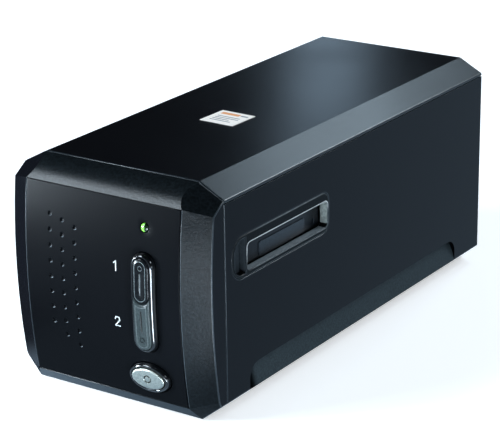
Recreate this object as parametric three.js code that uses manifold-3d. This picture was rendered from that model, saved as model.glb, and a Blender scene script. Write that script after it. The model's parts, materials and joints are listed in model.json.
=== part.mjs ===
// A desk-top scanner for film strips and slides: a long eight-sided black case. The film holder slides
// through it from side to side, past a C-shaped carriage that reaches over and under the film.
// Millimetres. X runs across the case, Y from the front panel to the rear, Z up from the table.
import * as THREE from "three";
import { mergeVertices } from "three/addons/utils/BufferGeometryUtils.js";
import Module from "manifold-3d";

const wasm = await Module();
wasm.setup();

// Shared allowances.
const fitGap = 0.3;
const overrun = 2;
const roundSideCount = 24;
const smallSideCount = 14;
const dimpleSideCount = 10;
const wireSideCount = 6;
const ovalSidePointCount = 5;
const flexSpanStepCount = 6;
const roundingStepCount = 2;
const domeStepCount = 3;

// Case: an eight-sided tube, with wide shallow slopes above and narrower ones below.
const caseWidth = 120;
const caseHeight = 120;
const caseLength = 278.5;
const caseWall = 2.2;
const standHeight = 0.8;
const topSlopeWidth = 13.9;
const topSlopeHeight = 7.4;
const lowSlopeWidth = 9.7;
const lowSlopeHeight = 7.7;
const bezelDepth = 18.5;
const coverSkirt = 1.8;
const coverLipDepth = 4;
const coverLipThickness = 1.5;

// The front's side view is one arc; its foremost line is the zero of Y.
const faceRadius = 330;
const faceApexShare = 0.55;
const faceStepCount = 14;

// Front bezel and the panel set in it.
const bevelWidth = 13.5;
const bevelBack = 7.4;
const panelTopDrop = 9.5;
const panelBottom = 7.7;
const panelThickness = 2.5;
const panelLedge = 3;
const panelLedgeThickness = 2.2;
const topFacetDrop = 3.5;
const lowFacetRise = 3.8;
const lowStripDepth = 11;
const rollCurveDepth = 8.5;
const rollCurveDrop = 2.4;
const rollPointCount = 8;
const snapThickness = 1.6;
const snapReach = 6;
const snapHeight = 12;
const lowSnapMiddle = 36;

// Dimples in the panel: three columns of shallow cups.
const dimpleFromEdge = 15.3;
const dimpleFromTop = 16.7;
const firstColumnSpacingShare = 0.0798;
const laterColumnSpacingShare = 0.075;
const dimpleColumnSpacing = 7.6;
const dimpleColumnDrop = 2.4;
const dimpleRadius = 1.25;
const dimpleDepth = 0.55;
const dimpleFloorShare = 0.7;
const dimpleRowCounts = [8, 9, 9];

// Controls, on one centre line.
const controlFromEdge = 20.7;
const surroundFromTop = 24.5;
const surroundFromBottom = 26.8;
const surroundHalfWidth = 6.7;
const surroundProud = 3;
const surroundTaper = 0.9;
const surroundRim = 0.8;
const surroundFlange = 1.6;
const flangeThickness = 1.2;
const scanButtonProud = 3.9;
const buttonEdge = 0.8;
const buttonEdgeWidth = 1.6;
const buttonGroove = 0.9;
const buttonGrooveDepth = 0.4;
const scanButtonShare = 0.5107;
const pressTravel = 0.8;
const pressGap = 0.15;
const plungerRadius = 2;
const tabThickness = 1;
const tabHalfWidth = 6.2;
const tabHalfHeight = 4;
const powerFromBottom = 12.8;
const powerRingHalfWidth = 12.1;
const powerRingHalfHeight = 7.9;
const powerRingProud = 2.6;
const powerRingRim = 1.3;
const powerButtonProud = 3.4;
const lampFromTop = 12.3;
const lampRadius = 2.2;
const lampProud = 0.7;
const lampFlange = 1.1;

// Button board behind the panel.
const buttonBoardFront = 15;
const boardThickness = 1.6;
const buttonBoardHalfWidth = 14.5;
const buttonBoardFromBottom = 6.3;
const buttonBoardFromTop = 6.5;
const boardPostRadius = 2.4;
const boardHoleRadius = 1.2;
const boardPostInset = 3.2;
const boardPostRise = 3;
const switchWidth = 6;
const switchDepth = 3.4;
const switchStemRadius = 1.7;
const switchStem = 0.8;

// Film slots in both sides, each with a frame set in the wall from inside.
const slotFront = 24.3;
const slotLength = 87.9;
const slotCeilingShare = 0.755;
const slotHeight = 21.5;
const slotFrontRadius = 9.2;
const slotRearRadius = 5.6;
const slotFlange = 3;
const slotFlangeThickness = 2.4;
const mouthLead = 13.2;
const mouthRearRim = 1;
const mouthSill = 2.2;
const mouthLintel = 5;
const mouthRadius = 2.5;
const dishDepth = 4.1;
const dishMargin = 1.6;
const dishLead = 10.5;
const dishLip = 0.9;

// Dust flap behind each slot.
const flapThickness = 2;
const flapSideGap = 0.8;
const flapFloorGap = 0.7;
const flapPadFromFront = 19.5;
const flapPadFromRear = 13.2;
const flapPadHeight = 5.6;
const flapPadThickness = 1.1;
const hingeFromCeiling = 2.4;
const hingePinRadius = 0.8;
const hingeBarrelRadius = 2;
const hingeLugWidth = 3;
const springLength = 7.5;
const springCoilRadius = 1.4;
const springWireRadius = 0.3;
const springTurnCount = 4;
const springLeg = 8;
const springStepCount = 10;

// Film track between the two slots.
const trackEndGap = 3.8;
const trackStepDown = 0.4;
const trackFloorThickness = 2.5;
const trackWallHeight = 13.1;
const trackWall = 2.2;
const trackSideGap = 0.5;
const trackLip = 3;
const trackLipThickness = 2;
const trackLipEndGap = 19;
const trackLegSize = 5;
const trackWindowMargin = 6;
const trackWindowSideGap = 7;
const detentHalfLength = 12;
const detentThickness = 0.4;
const detentRise = 1.9;
const detentHeight = 4;
const detentPointCount = 12;

// Chassis plate on four posts of the case base.
const chassisSideGap = 9.8;
const chassisFront = 24;
const chassisRearGap = 10.5;
const chassisBottom = 9;
const chassisThickness = 2;
const chassisPostRadius = 4;
const chassisPostInset = 9;
const chassisHoleRadius = 1.7;
const chassisWindowFromIdler = 24;
const chassisWindowFromGear = 48;
const rodInset = 14;
const rodTabThickness = 2;
const rodTabHalfWidth = 7;
const rodTabTopHalfWidth = 3.5;
const rodTabAbove = 6;
const rodFront = 25;
const rodRearGap = 7.65;
const rodRadius = 3;
const rodHeight = 30;

// Scan carriage. Its Y values count from the scan line.
const scanTravel = 36;
const carriageFromRod = 7;
const carriageWall = 2.2;
const carriageFloor = 20.5;
const carriageFloorThickness = 2.5;
const carriageUnderTrack = 8.4;
const carriageMirrorGap = 4.1;
const carriageGearGap = 16.75;
const spineTrackGap = 1.55;
const spineDepth = 8;
const armAboveTrack = 9;
const armHeight = 14;
const armRibFront = 14;
const armRibThickness = 2;
const lidFront = 18;
const lidThickness = 1.6;
const lidRib = 1.2;
const lidRibCount = 4;
const mirrorHeightShare = 0.443;
const mirrorLengthShare = 0.709;
const mirrorThickness = 2;
const mirrorSideGap = 4;
const cradleRibThickness = 2.4;
const cradleRibInset = 8;
const lensFrontShare = 0.448;
const lensLengthShare = 0.224;
const lensBoreShare = 0.2025;
const lensWall = 3;
const lensRingWidth = 3;
const lensRingRise = 1;
const lensSaddleSide = 2.5;
const lensSaddleInset = 4;
const lensSaddleDrop = 2.7;
const glassThickness = 3;
const glassCrown = 1.4;
const sensorBoardInset = 1;
const sensorBoardDrop = 3;
const sensorInset = 6;
const sensorHalfHeight = 4.5;
const sensorDepth = 3.6;
const sensorLineHalfHeight = 1.5;
const lampBoardInset = 3;
const lampBoardHalfDepth = 6;
const lampBoardRise = 7;
const ledSize = 3;
const ledHeight = 1.4;
const ledCount = 6;
const diffuserInset = 2.7;
const diffuserHalfDepth = 5;
const diffuserCrownHalfDepth = 2.5;
const diffuserThickness = 2.4;
const bushOuterRadius = 5;
const bushLength = 12;
const eyeWall = 1.6;
const frontEyeInset = 4;
const rearEyeInset = 18;
const shoeShare = 0.43;
const shoeLength = 14;
const shoeThickness = 2.6;

// Belt drive.
const beltPulleyRadius = 6;
const beltThickness = 1.2;
const beltHeight = 5;
const beltBottom = 13.2;
const pulleyFlange = 2;
const pulleyFlangeThickness = 0.7;
const idlerFromFront = 38;
const gearCentreShare = 0.6154;
const toothCrown = 0.9;
const toothFoot = 1.25;
const gearToothCount = 44;
const pinionToothCount = 12;
const toothBacklash = 0.35;
const toothTipShare = 0.28;
const toothRootShare = 0.61;
const pinionPhaseShare = 0.5;
const gearBottom = 36;
const gearThickness = 4;
const gearHubRadius = 5;
const gearWebThickness = 2;
const gearRimWidth = 3;
const axleRadius = 2;
const axleHeadRadius = 3.4;
const axleHeadThickness = 1.2;
const clampAhead = 20;
const clampLength = 14;
const clampWall = 1.4;
const motorSideGap = 3.5;
const motorRearGap = 5;
const motorTop = 33;
const motorFlangeThickness = 1.2;
const motorEarRadius = 4;
const motorBossRadius = 4;
const motorBossHeight = 1.8;
const motorShaftRadius = 1;

// Electronics at the rear.
const bracketFrontGap = 23;
const bracketRearGap = 16.5;
const bracketSideGap = 7.3;
const bracketAboveCarriage = 7.5;
const bracketThickness = 1.5;
const bracketWindowInset = 12;
const mainBoardRise = 0.5;
const mainBoardInset = 5;
const mainBoardLead = 4;
const mainBoardRearGap = 7.5;
const chipHalfSize = 11;
const chipThickness = 1.6;
const connectorHeight = 11;
const connectorInset = 17.5;
const usbWidth = 12;
const usbDepth = 16;
const usbWall = 0.7;
const usbTongueWidth = 5.6;
const usbTongueHeight = 3.2;
const jackWidth = 9;
const jackDepth = 14;
const jackBoreRadius = 3.1;
const jackPinRadius = 1;
const jackPinInset = 1;
const jackBoreDepth = 9;
const flexThickness = 0.4;
const sensorFlexHalfWidth = 9;
const sensorFlexEndShare = 0.75;
const sensorFlexRise = 4;
const buttonFlexFromControls = 9.5;
const buttonFlexHalfWidth = 4;
const buttonFlexDrop = 7;
const buttonFlexBend = 14;
const buttonFlexLean = 1.75;

// Rear panel.
const rearRecess = 2.3;
const rearStopDepth = 2;
const rearStopWidth = 2;
const rearScrewInset = 6.8;
const rearBossSize = 10;
const rearBossDepth = 10;
const screwRadius = 1.25;
const screwHeadRadius = 2.8;
const screwHeadHeight = 1.8;
const screwShoulderRadius = 2.4;
const screwShoulderHeight = 1.25;
const screwFlatRadius = 1.4;
const screwLength = 9;
const screwSlotWidth = 0.7;

// Grip scoop along the lower edge of each side.
const gripFront = 38.5;
const gripRearGap = 28.5;
const gripTop = 21.6;
const gripDepth = 4;
const gripCornerRadius = 8;

// Feet and the label on the top.
const footRadius = 6;
const footThickness = 1.4;
const footEdge = 0.7;
const footPocket = 0.9;
const footSideGap = 10.3;
const footInset = 15.5;
const labelWidth = 21;
const labelDepth = 20.2;
const labelThickness = 0.25;
const labelFromFront = 110.1;
const labelTurnDegrees = -2;

// Values that follow from the sizes above: case and front.
const halfWidth = caseWidth / 2;
const innerHalfWidth = halfWidth - caseWall;
const sideTop = caseHeight - topSlopeHeight;
const sideBottom = standHeight + lowSlopeHeight;
const floorTop = standHeight + caseWall;
const coverBottom = sideTop - coverSkirt;
const frontEdge = -scanButtonProud;
const overallMiddle = (caseLength + frontEdge) / 2;
const rearPanelFace = caseLength - rearRecess;
const rearPanelBack = rearPanelFace - caseWall;
const rearScrewFromCentre = innerHalfWidth - rearScrewInset;
const rearScrewHeight = caseHeight / 2;
const gripRear = caseLength - gripRearGap;
const faceApexHeight = faceApexShare * caseHeight;
const panelHalfWidth = halfWidth - bevelWidth;
const panelTop = caseHeight - panelTopDrop;

// Controls.
const firstColumnSpacing = firstColumnSpacingShare * (panelTop - panelBottom);
const laterColumnSpacing = laterColumnSpacingShare * (panelTop - panelBottom);
const controlLine = panelHalfWidth - controlFromEdge;
const surroundTop = panelTop - surroundFromTop;
const surroundBottom = panelBottom + surroundFromBottom;
const scanButtonJoint = surroundBottom + scanButtonShare * (surroundTop - surroundBottom);
const powerHeight = panelBottom + powerFromBottom;
const lampHeight = panelTop - lampFromTop;
const buttonBoardBottom = panelBottom + buttonBoardFromBottom;
const buttonBoardTop = panelTop - buttonBoardFromTop;

// Slots and film track.
const slotRear = slotFront + slotLength;
const slotCeiling = slotCeilingShare * caseHeight;
const slotFloor = slotCeiling - slotHeight;
const mouthFront = slotFront + mouthLead;
const mouthRear = slotRear - mouthRearRim;
const mouthFloor = slotFloor + mouthSill;
const mouthCeiling = slotCeiling - mouthLintel;
const slotWallInside = innerHalfWidth - fitGap;
const slotFrameInside = slotWallInside - slotFlangeThickness;
const flapOutside = slotFrameInside - fitGap;
const hingeFromCentre = flapOutside - hingeBarrelRadius;
const hingeHeight = slotCeiling - hingeFromCeiling;
const trackHalfLength = hingeFromCentre - trackEndGap;
const trackFloorTop = mouthFloor - trackStepDown;
const trackFloorBottom = trackFloorTop - trackFloorThickness;
const trackWallTop = trackFloorTop + trackWallHeight;

// Chassis and carriage.
const scanHome = (mouthFront + mouthRear + scanTravel) / 2;
const chassisTop = chassisBottom + chassisThickness;
const chassisHalfWidth = innerHalfWidth - chassisSideGap;
const chassisRear = caseLength - chassisRearGap;
const rodSpread = chassisHalfWidth - rodInset;
const bracketOuter = innerHalfWidth - bracketSideGap;
const driveRoom = bracketOuter - bracketThickness - motorSideGap;
const motorFromCentre = gearCentreShare * driveRoom;
const motorRadius = driveRoom - motorFromCentre;
const toothSpacing = (2 * Math.PI * motorFromCentre) / (gearToothCount + pinionToothCount);
const gearPitchRadius = (toothSpacing * gearToothCount) / (2 * Math.PI);
const gearFromFront = caseLength - motorRadius - 2 * motorEarRadius - motorRearGap;
const gearTop = gearBottom + gearThickness;
const carriageHalfWidth = rodSpread - carriageFromRod;
const carriageFloorTop = carriageFloor + carriageFloorThickness;
const carriageWallTop = trackFloorBottom - carriageUnderTrack;
const carriageDepth = carriageWallTop - carriageFloor;
const carriageRear = gearFromFront - gearPitchRadius - toothCrown - carriageGearGap - scanHome;
const rodRear = scanHome + carriageRear + rodRearGap;
const spineFront = mouthRear + trackWall + spineTrackGap + scanTravel - scanHome;
const spineRear = spineFront + spineDepth;
const armBottom = trackWallTop + armAboveTrack;
const armTop = armBottom + armHeight;
const mirrorHeight = carriageFloor + mirrorHeightShare * carriageDepth;
const mirrorLength = mirrorLengthShare * carriageDepth;
const mirrorReach = mirrorLength / 2 / Math.SQRT2;
const carriageFront = -mirrorReach - carriageMirrorGap;
const lensBore = lensBoreShare * carriageDepth;
const lensRadius = lensBore + lensWall;
const lensFront = lensFrontShare * carriageRear;
const lensRear = lensFront + lensLengthShare * carriageRear;
const sensorBoardTop = carriageWallTop - sensorBoardDrop;
const lampBoardHeight = armBottom + lampBoardRise;
const frontEye = carriageFront + frontEyeInset;
const rearEye = carriageRear - rearEyeInset;

// Electronics.
const bracketFront = scanHome + spineRear + bracketFrontGap;
const bracketRear = caseLength - bracketRearGap;
const bracketTop = carriageWallTop + bracketAboveCarriage;
const mainBoardBottom = bracketTop + mainBoardRise;
const mainBoardTop = mainBoardBottom + boardThickness;
const mainBoardHalfWidth = bracketOuter - mainBoardInset;
const mainBoardFront = bracketFront - mainBoardLead;
const mainBoardRear = caseLength - mainBoardRearGap;
const connectorFromCentre = mainBoardHalfWidth - connectorInset;

const blackCase = { color: "#15181d", roughness: 0.55, metalness: 0.05 };
const blackGloss = { color: "#08090b", roughness: 0.15, metalness: 0.05 };
const darkButton = { color: "#24272b", roughness: 0.35, metalness: 0.2 };
const greyButton = { color: "#7d868a", roughness: 0.4, metalness: 0.3 };
const silver = { color: "#b9c2c2", roughness: 0.3, metalness: 0.55 };
const greenLens = { color: "#63c04a", roughness: 0.2, metalness: 0 };
const darkPlastic = { color: "#2b2d30", roughness: 0.6, metalness: 0 };
const whitePlastic = { color: "#e6e8e6", roughness: 0.5, metalness: 0 };
const rubber = { color: "#101010", roughness: 0.9, metalness: 0 };
const steel = { color: "#b8bcc0", roughness: 0.3, metalness: 1 };
const sheetSteel = { color: "#9ea3a6", roughness: 0.45, metalness: 0.9 };
const boardGreen = { color: "#1f5a35", roughness: 0.6, metalness: 0 };
const brass = { color: "#b08d4a", roughness: 0.35, metalness: 1 };
const nylon = { color: "#d8d3c4", roughness: 0.5, metalness: 0 };
const opticalGlass = { color: "#9fb2c4", roughness: 0.05, metalness: 0.2 };
const paper = { color: "#f2f1ee", roughness: 0.7, metalness: 0 };
const flexAmber = { color: "#9a6a22", roughness: 0.4, metalness: 0 };

// Solids and their joining and cutting.

function solid(geometry) {
  const bare = new THREE.BufferGeometry();
  bare.setAttribute("position", geometry.getAttribute("position"));
  if (geometry.index) bare.setIndex(geometry.index);
  const merged = mergeVertices(bare);
  const mesh = new wasm.Mesh({
    numProp: 3,
    vertProperties: merged.getAttribute("position").array,
    triVerts: new Uint32Array(merged.index.array),
  });
  return new wasm.Manifold(mesh);
}

function geometryOf(form) {
  const mesh = form.getMesh();
  const geometry = new THREE.BufferGeometry();
  geometry.setAttribute("position", new THREE.BufferAttribute(mesh.vertProperties, 3));
  geometry.setIndex(new THREE.BufferAttribute(mesh.triVerts, 1));
  const flat = geometry.toNonIndexed();
  flat.computeVertexNormals();
  return flat;
}

function join(first, ...others) {
  return others.reduce((sum, next) => sum.add(next), first);
}

function cut(first, ...others) {
  return others.reduce((rest, next) => rest.subtract(next), first);
}

function common(first, ...others) {
  return others.reduce((shared, next) => shared.intersect(next), first);
}

function piece(name, form, finish) {
  const mesh = new THREE.Mesh(geometryOf(form), new THREE.MeshStandardMaterial(finish));
  mesh.name = name;
  return mesh;
}

function group(...children) {
  const holder = new THREE.Group();
  holder.add(...children);
  return holder;
}

// Basic forms, each given by its low and high value along an axis.

function span([low, high]) {
  return { size: high - low, middle: (low + high) / 2 };
}

function around(middle, half) {
  return [middle - half, middle + half];
}

function block(xRange, yRange, zRange) {
  const [x, y, z] = [xRange, yRange, zRange].map(span);
  const box = new THREE.BoxGeometry(x.size, y.size, z.size);
  return solid(box.translate(x.middle, y.middle, z.middle));
}

function shapeOf(outline) {
  return new THREE.Shape(outline.map(([u, v]) => new THREE.Vector2(u, v)));
}

function prism(outline, [low, high], basis, stepCount = 1) {
  const options = { depth: high - low, steps: stepCount, bevelEnabled: false };
  const geometry = new THREE.ExtrudeGeometry(shapeOf(outline), options);
  return geometry.translate(0, 0, low).applyMatrix4(basis);
}

const unitX = new THREE.Vector3(1, 0, 0);
const unitY = new THREE.Vector3(0, 1, 0);
const unitZ = new THREE.Vector3(0, 0, 1);

// An outline of Y and Z values, drawn out along X.
function prismX(outline, range) {
  return solid(prism(outline, range, new THREE.Matrix4().makeBasis(unitY, unitZ, unitX)));
}

// An outline of X and Z values, drawn out along Y.
function prismY(outline, [low, high]) {
  const backward = unitY.clone().negate();
  return solid(prism(outline, [-high, -low], new THREE.Matrix4().makeBasis(unitX, unitZ, backward)));
}

// An outline of X and Y values, drawn out along Z.
function prismZ(outline, range) {
  return solid(prism(outline, range, new THREE.Matrix4()));
}

function circle([u, v], radius, sideCount = roundSideCount) {
  return ellipse([u, v], [radius, radius], sideCount);
}

function ellipse([u, v], [halfU, halfV], sideCount = roundSideCount) {
  return Array.from({ length: sideCount }, (_, i) => {
    const angle = (2 * Math.PI * i) / sideCount;
    return [u + halfU * Math.cos(angle), v + halfV * Math.sin(angle)];
  });
}

// Part of a circle, given by the quarter it starts with and the number of quarters it runs through.
function arc([u, v], radius, firstQuarter, quarterCount) {
  const stepCount = (roundSideCount / 4) * quarterCount;
  return Array.from({ length: stepCount + 1 }, (_, i) => {
    const angle = (Math.PI / 2) * (firstQuarter + (quarterCount * i) / stepCount);
    return [u + radius * Math.cos(angle), v + radius * Math.sin(angle)];
  });
}

// A rectangle with one corner radius at its low end and another at its high end.
function roundedRectangle([uLow, uHigh], [vLow, vHigh], lowRadius, highRadius = lowRadius) {
  return [
    ...arc([uHigh - highRadius, vHigh - highRadius], highRadius, 0, 1),
    ...arc([uLow + lowRadius, vHigh - lowRadius], lowRadius, 1, 1),
    ...arc([uLow + lowRadius, vLow + lowRadius], lowRadius, 2, 1),
    ...arc([uHigh - highRadius, vLow + highRadius], highRadius, 3, 1),
  ];
}

// An upright oval with straight sides, which carry points so that they can follow a curved face.
function uprightOval(u, [low, high], radius) {
  const step = (high - low - 2 * radius) / (ovalSidePointCount + 1);
  const steps = Array.from({ length: ovalSidePointCount }, (_, i) => step * (i + 1));
  return [
    ...arc([u, high - radius], radius, 0, 2),
    ...steps.map((down) => [u - radius, high - radius - down]),
    ...arc([u, low + radius], radius, 2, 2),
    ...steps.map((up) => [u + radius, low + radius + up]),
  ];
}

function rodY(radius, yRange, at, sideCount) {
  return prismY(circle(at, radius, sideCount), yRange);
}

function rodZ(radius, zRange, at, sideCount) {
  return prismZ(circle(at, radius, sideCount), zRange);
}

// A closed skin through outlines of X and Z values with equally many points, from front to back.
// Each outline has its own function for the depth of a point.
function loftY(sections) {
  const pointCount = sections[0].outline.length;
  const positions = sections.flatMap(({ outline, depth }) => outline.flatMap(([x, z]) => [x, depth(z), z]));
  const indices = [];
  for (let s = 0; s + 1 < sections.length; s++) {
    for (let i = 0; i < pointCount; i++) {
      const next = (i + 1) % pointCount;
      const front = s * pointCount;
      const back = front + pointCount;
      indices.push(front + i, back + i, back + next, front + i, back + next, front + next);
    }
  }
  const contour = sections[0].outline.map(([x, z]) => new THREE.Vector2(x, z));
  const last = (sections.length - 1) * pointCount;
  for (const [a, b, c] of THREE.ShapeUtils.triangulateShape(contour, [])) {
    indices.push(a, b, c, last + a, last + c, last + b);
  }
  const geometry = new THREE.BufferGeometry();
  geometry.setAttribute("position", new THREE.Float32BufferAttribute(positions, 3));
  geometry.setIndex(indices);
  return solid(geometry);
}

function turned(profile, sideCount = roundSideCount) {
  const points = profile.map(([radius, height]) => new THREE.Vector2(radius, height));
  return new THREE.LatheGeometry(points, sideCount);
}

// A turned part that stands along Z: profile points are radius and height.
function turnedZ(profile, sideCount) {
  return solid(turned(profile, sideCount).rotateX(Math.PI / 2));
}

// A turned part that lies along Y, its profile heights counting from front to back.
function turnedY(profile, sideCount) {
  return solid(turned(profile, sideCount));
}

// Moves every edge of a convex outline inwards by one distance.
function insetOutline(outline, distance) {
  const points = outline.map(([u, v]) => new THREE.Vector2(u, v));
  const clockwise = THREE.ShapeUtils.area(points) < 0;
  const inward = points.map((point, i) => {
    const edge = points[(i + 1) % points.length].clone().sub(point).normalize();
    return clockwise ? new THREE.Vector2(edge.y, -edge.x) : new THREE.Vector2(-edge.y, edge.x);
  });
  return points.map((point, i) => {
    const before = inward[(i + points.length - 1) % points.length];
    const after = inward[i];
    const corner = before.clone().add(after).multiplyScalar(distance / (1 + before.dot(after)));
    return [point.x + corner.x, point.y + corner.y];
  });
}

// The part of space beyond the plane through three points, on the side away from the case's middle.
function beyondPlane([a, b, c], inset) {
  const plane = new THREE.Plane().setFromCoplanarPoints(a, b, c);
  const middle = new THREE.Vector3(0, bezelDepth + caseHeight, caseHeight / 2);
  if (plane.distanceToPoint(middle) > 0) plane.negate();
  const size = caseWidth;
  const box = new THREE.BoxGeometry(size, size, size).translate(0, 0, size / 2 - inset);
  const turn = new THREE.Quaternion().setFromUnitVectors(unitZ, plane.normal);
  return solid(box.applyQuaternion(turn).translate(a.x, a.y, a.z));
}

// Case.

function caseSection() {
  const [across, up] = [halfWidth - topSlopeWidth, halfWidth - lowSlopeWidth];
  return [
    [up, standHeight],
    [halfWidth, sideBottom],
    [halfWidth, sideTop],
    [across, caseHeight],
    [-across, caseHeight],
    [-halfWidth, sideTop],
    [-halfWidth, sideBottom],
    [-up, standHeight],
  ];
}

function caseTube(front) {
  const outside = prismY(caseSection(), [front, caseLength]);
  const inside = prismY(insetOutline(caseSection(), caseWall), [front - overrun, caseLength + overrun]);
  return cut(outside, inside);
}

function everythingWide(zRange) {
  return block([-caseWidth, caseWidth], [-caseLength, 2 * caseLength], zRange);
}

function topCover() {
  const skin = common(caseTube(bezelDepth + fitGap), everythingWide([coverBottom + fitGap, 2 * caseHeight]));
  const lipOuter = innerHalfWidth - fitGap;
  const lipRange = [bezelDepth + coverLipDepth, rearPanelBack - coverLipDepth];
  const lips = [-1, 1].map((side) => {
    const lip = prismY(
      [
        [side * lipOuter, coverBottom - coverLipDepth],
        [side * lipOuter, sideTop - caseWall],
        [side * (lipOuter - coverLipThickness), sideTop - caseWall],
        [side * (lipOuter - coverLipThickness), coverBottom - coverLipDepth],
      ],
      lipRange,
    );
    const web = prismY(
      [
        [side * lipOuter, sideTop - caseWall],
        [side * (innerHalfWidth + fitGap), sideTop - fitGap],
        [side * (lipOuter - 2 * coverLipThickness), sideTop + fitGap],
        [side * (lipOuter - coverLipThickness), sideTop - caseWall],
      ],
      lipRange,
    );
    return join(lip, web);
  });
  return join(skin, ...lips);
}

function slotOutline(extra) {
  return roundedRectangle(
    [slotFront - extra, slotRear + extra],
    [slotFloor - extra, slotCeiling + extra],
    slotFrontRadius + extra,
    slotRearRadius + extra,
  );
}

// The scoop is deepest under its top edge and runs out flush at the case's lower edge.
function gripScoop(side, extra) {
  const deep = halfWidth - gripDepth - extra;
  const section = [
    [side * (halfWidth + overrun), gripTop + extra],
    [side * deep, gripTop + extra],
    [side * (halfWidth - extra), sideBottom - extra],
    [side * (halfWidth + overrun), sideBottom - extra],
  ];
  const ends = [gripFront - extra, gripRear + extra];
  const outline = roundedRectangle(ends, [-gripTop, gripTop + extra], gripCornerRadius + extra);
  return common(prismY(section, ends), prismX(outline, [-caseWidth, caseWidth]));
}

function footPlaces() {
  const rows = [bezelDepth + footInset, caseLength - footInset];
  const across = halfWidth - lowSlopeWidth - footSideGap;
  return [-1, 1].flatMap((side) => rows.map((y) => [side * across, y]));
}

function chassisPlaces() {
  const rows = [chassisFront + chassisPostInset, chassisRear - chassisPostInset];
  return [-1, 1].flatMap((side) => rows.map((y) => [side * (chassisHalfWidth - chassisPostInset), y]));
}

function rearBoss(side) {
  const outer = innerHalfWidth + fitGap;
  const inner = rearScrewFromCentre - rearBossSize / 2;
  const zRange = around(rearScrewHeight, rearBossSize / 2);
  const xRange = side > 0 ? [inner, outer] : [-outer, -inner];
  const body = block(xRange, backFrom(rearPanelBack, rearBossDepth), zRange);
  const bore = rodY(screwRadius + fitGap, backFrom(rearPanelBack + overrun, rearBossDepth), [
    side * rearScrewFromCentre,
    rearScrewHeight,
  ]);
  return cut(body, bore);
}

// The stretch of the given depth that ends one fit gap in front of a face.
function backFrom(face, depth) {
  return [face - fitGap - depth, face - fitGap];
}

function caseBase() {
  const walls = common(caseTube(bezelDepth + fitGap), everythingWide([-caseHeight, coverBottom]));
  const outside = prismY(caseSection(), [0, caseLength]);
  const scoopBacks = [-1, 1].map((side) => common(gripScoop(side, caseWall), outside));
  const postRange = [floorTop - fitGap, chassisBottom - fitGap];
  const posts = chassisPlaces().map((at) => rodZ(chassisPostRadius, postRange, at));
  const postHoles = chassisPlaces().map((at) =>
    rodZ(chassisHoleRadius, [floorTop, chassisBottom + overrun], at, smallSideCount),
  );
  const snaps = [-1, 1].flatMap((side) => snapMiddles().map((z) => snapTongue(side, z)));
  const stops = [-1, 1].map((side) => rearStop(side));
  const solidBase = join(walls, ...scoopBacks, ...posts, ...snaps, ...stops, rearBoss(-1), rearBoss(1));
  const slots = prismX(slotOutline(fitGap), [-caseWidth, caseWidth]);
  const pockets = footPlaces().map((at) => rodZ(footRadius + fitGap, [0, standHeight + footPocket], at));
  return cut(solidBase, slots, gripScoop(-1, 0), gripScoop(1, 0), ...pockets, ...postHoles);
}

// The snap tongues sit below the slot frame's flange and just above it.
function snapMiddles() {
  return [lowSnapMiddle, slotCeiling + slotFlange + fitGap + snapHeight / 2];
}

// A tongue that reaches forward into the bezel.
function snapTongue(side, height) {
  const outer = innerHalfWidth - fitGap;
  const inner = outer - snapThickness;
  const root = innerHalfWidth + fitGap;
  const plan = [
    [side * outer, bezelDepth - snapReach],
    [side * outer, bezelDepth + fitGap],
    [side * root, bezelDepth + 2 * fitGap],
    [side * root, bezelDepth + snapReach],
    [side * inner, bezelDepth + snapReach],
    [side * inner, bezelDepth - snapReach],
  ];
  return prismZ(plan, around(height, snapHeight / 2));
}

function rearStop(side) {
  const outer = innerHalfWidth + fitGap;
  const inner = innerHalfWidth - rearStopWidth;
  const xRange = side > 0 ? [inner, outer] : [-outer, -inner];
  const zRange = [sideBottom + gripTop, coverBottom - 2 * coverLipDepth];
  return block(xRange, backFrom(rearPanelBack, rearStopDepth), zRange);
}

// Front bezel.

// How far the front lies behind its foremost line at a height.
function faceDepth(height) {
  return (height - faceApexHeight) ** 2 / (2 * faceRadius);
}

function facePoint(x, height, back = 0) {
  return new THREE.Vector3(x, faceDepth(height) + back, height);
}

// Shears a form backwards to follow the face, all but its vertices at or behind the given depth.
function followFace(geometry, fixedFrom) {
  const position = geometry.getAttribute("position");
  for (let i = 0; i < position.count; i++) {
    const y = position.getY(i);
    if (y < fixedFrom) position.setY(i, y + faceDepth(position.getZ(i)));
  }
  return geometry;
}

function bentPlate(xRange, [front, back], zRange) {
  const [x, y, z] = [xRange, [front, back], zRange].map(span);
  const box = new THREE.BoxGeometry(x.size, y.size, z.size, 1, 1, faceStepCount);
  return solid(followFace(box.translate(x.middle, y.middle, z.middle), back + overrun));
}

function topFacet(side) {
  return [
    facePoint(side * panelHalfWidth, panelTop),
    facePoint(side * halfWidth, panelTop - topFacetDrop, bevelBack),
    new THREE.Vector3(side * halfWidth, bezelDepth, sideTop),
  ];
}

function lowFacet(side) {
  return [
    facePoint(side * panelHalfWidth, panelBottom),
    facePoint(side * halfWidth, panelBottom + lowFacetRise, bevelBack),
    new THREE.Vector3(side * (halfWidth - lowSlopeWidth), lowStripDepth, standHeight),
  ];
}

// The rolled top edge and the lower strip, seen from the side.
function bezelSideView(inset, back) {
  const roll = new THREE.QuadraticBezierCurve(
    new THREE.Vector2(back, caseHeight - inset),
    new THREE.Vector2(rollCurveDepth + inset, caseHeight - rollCurveDrop - inset),
    new THREE.Vector2(faceDepth(panelTop) + inset, panelTop - inset),
  );
  const rolled = roll.getPoints(rollPointCount).map((point) => [point.x, point.y]);
  return [
    ...rolled,
    [-overrun, panelTop - inset],
    [-overrun, panelBottom + inset],
    [faceDepth(panelBottom), panelBottom + inset],
    [lowStripDepth, standHeight + inset],
    [back, standHeight + inset],
  ];
}

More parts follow.
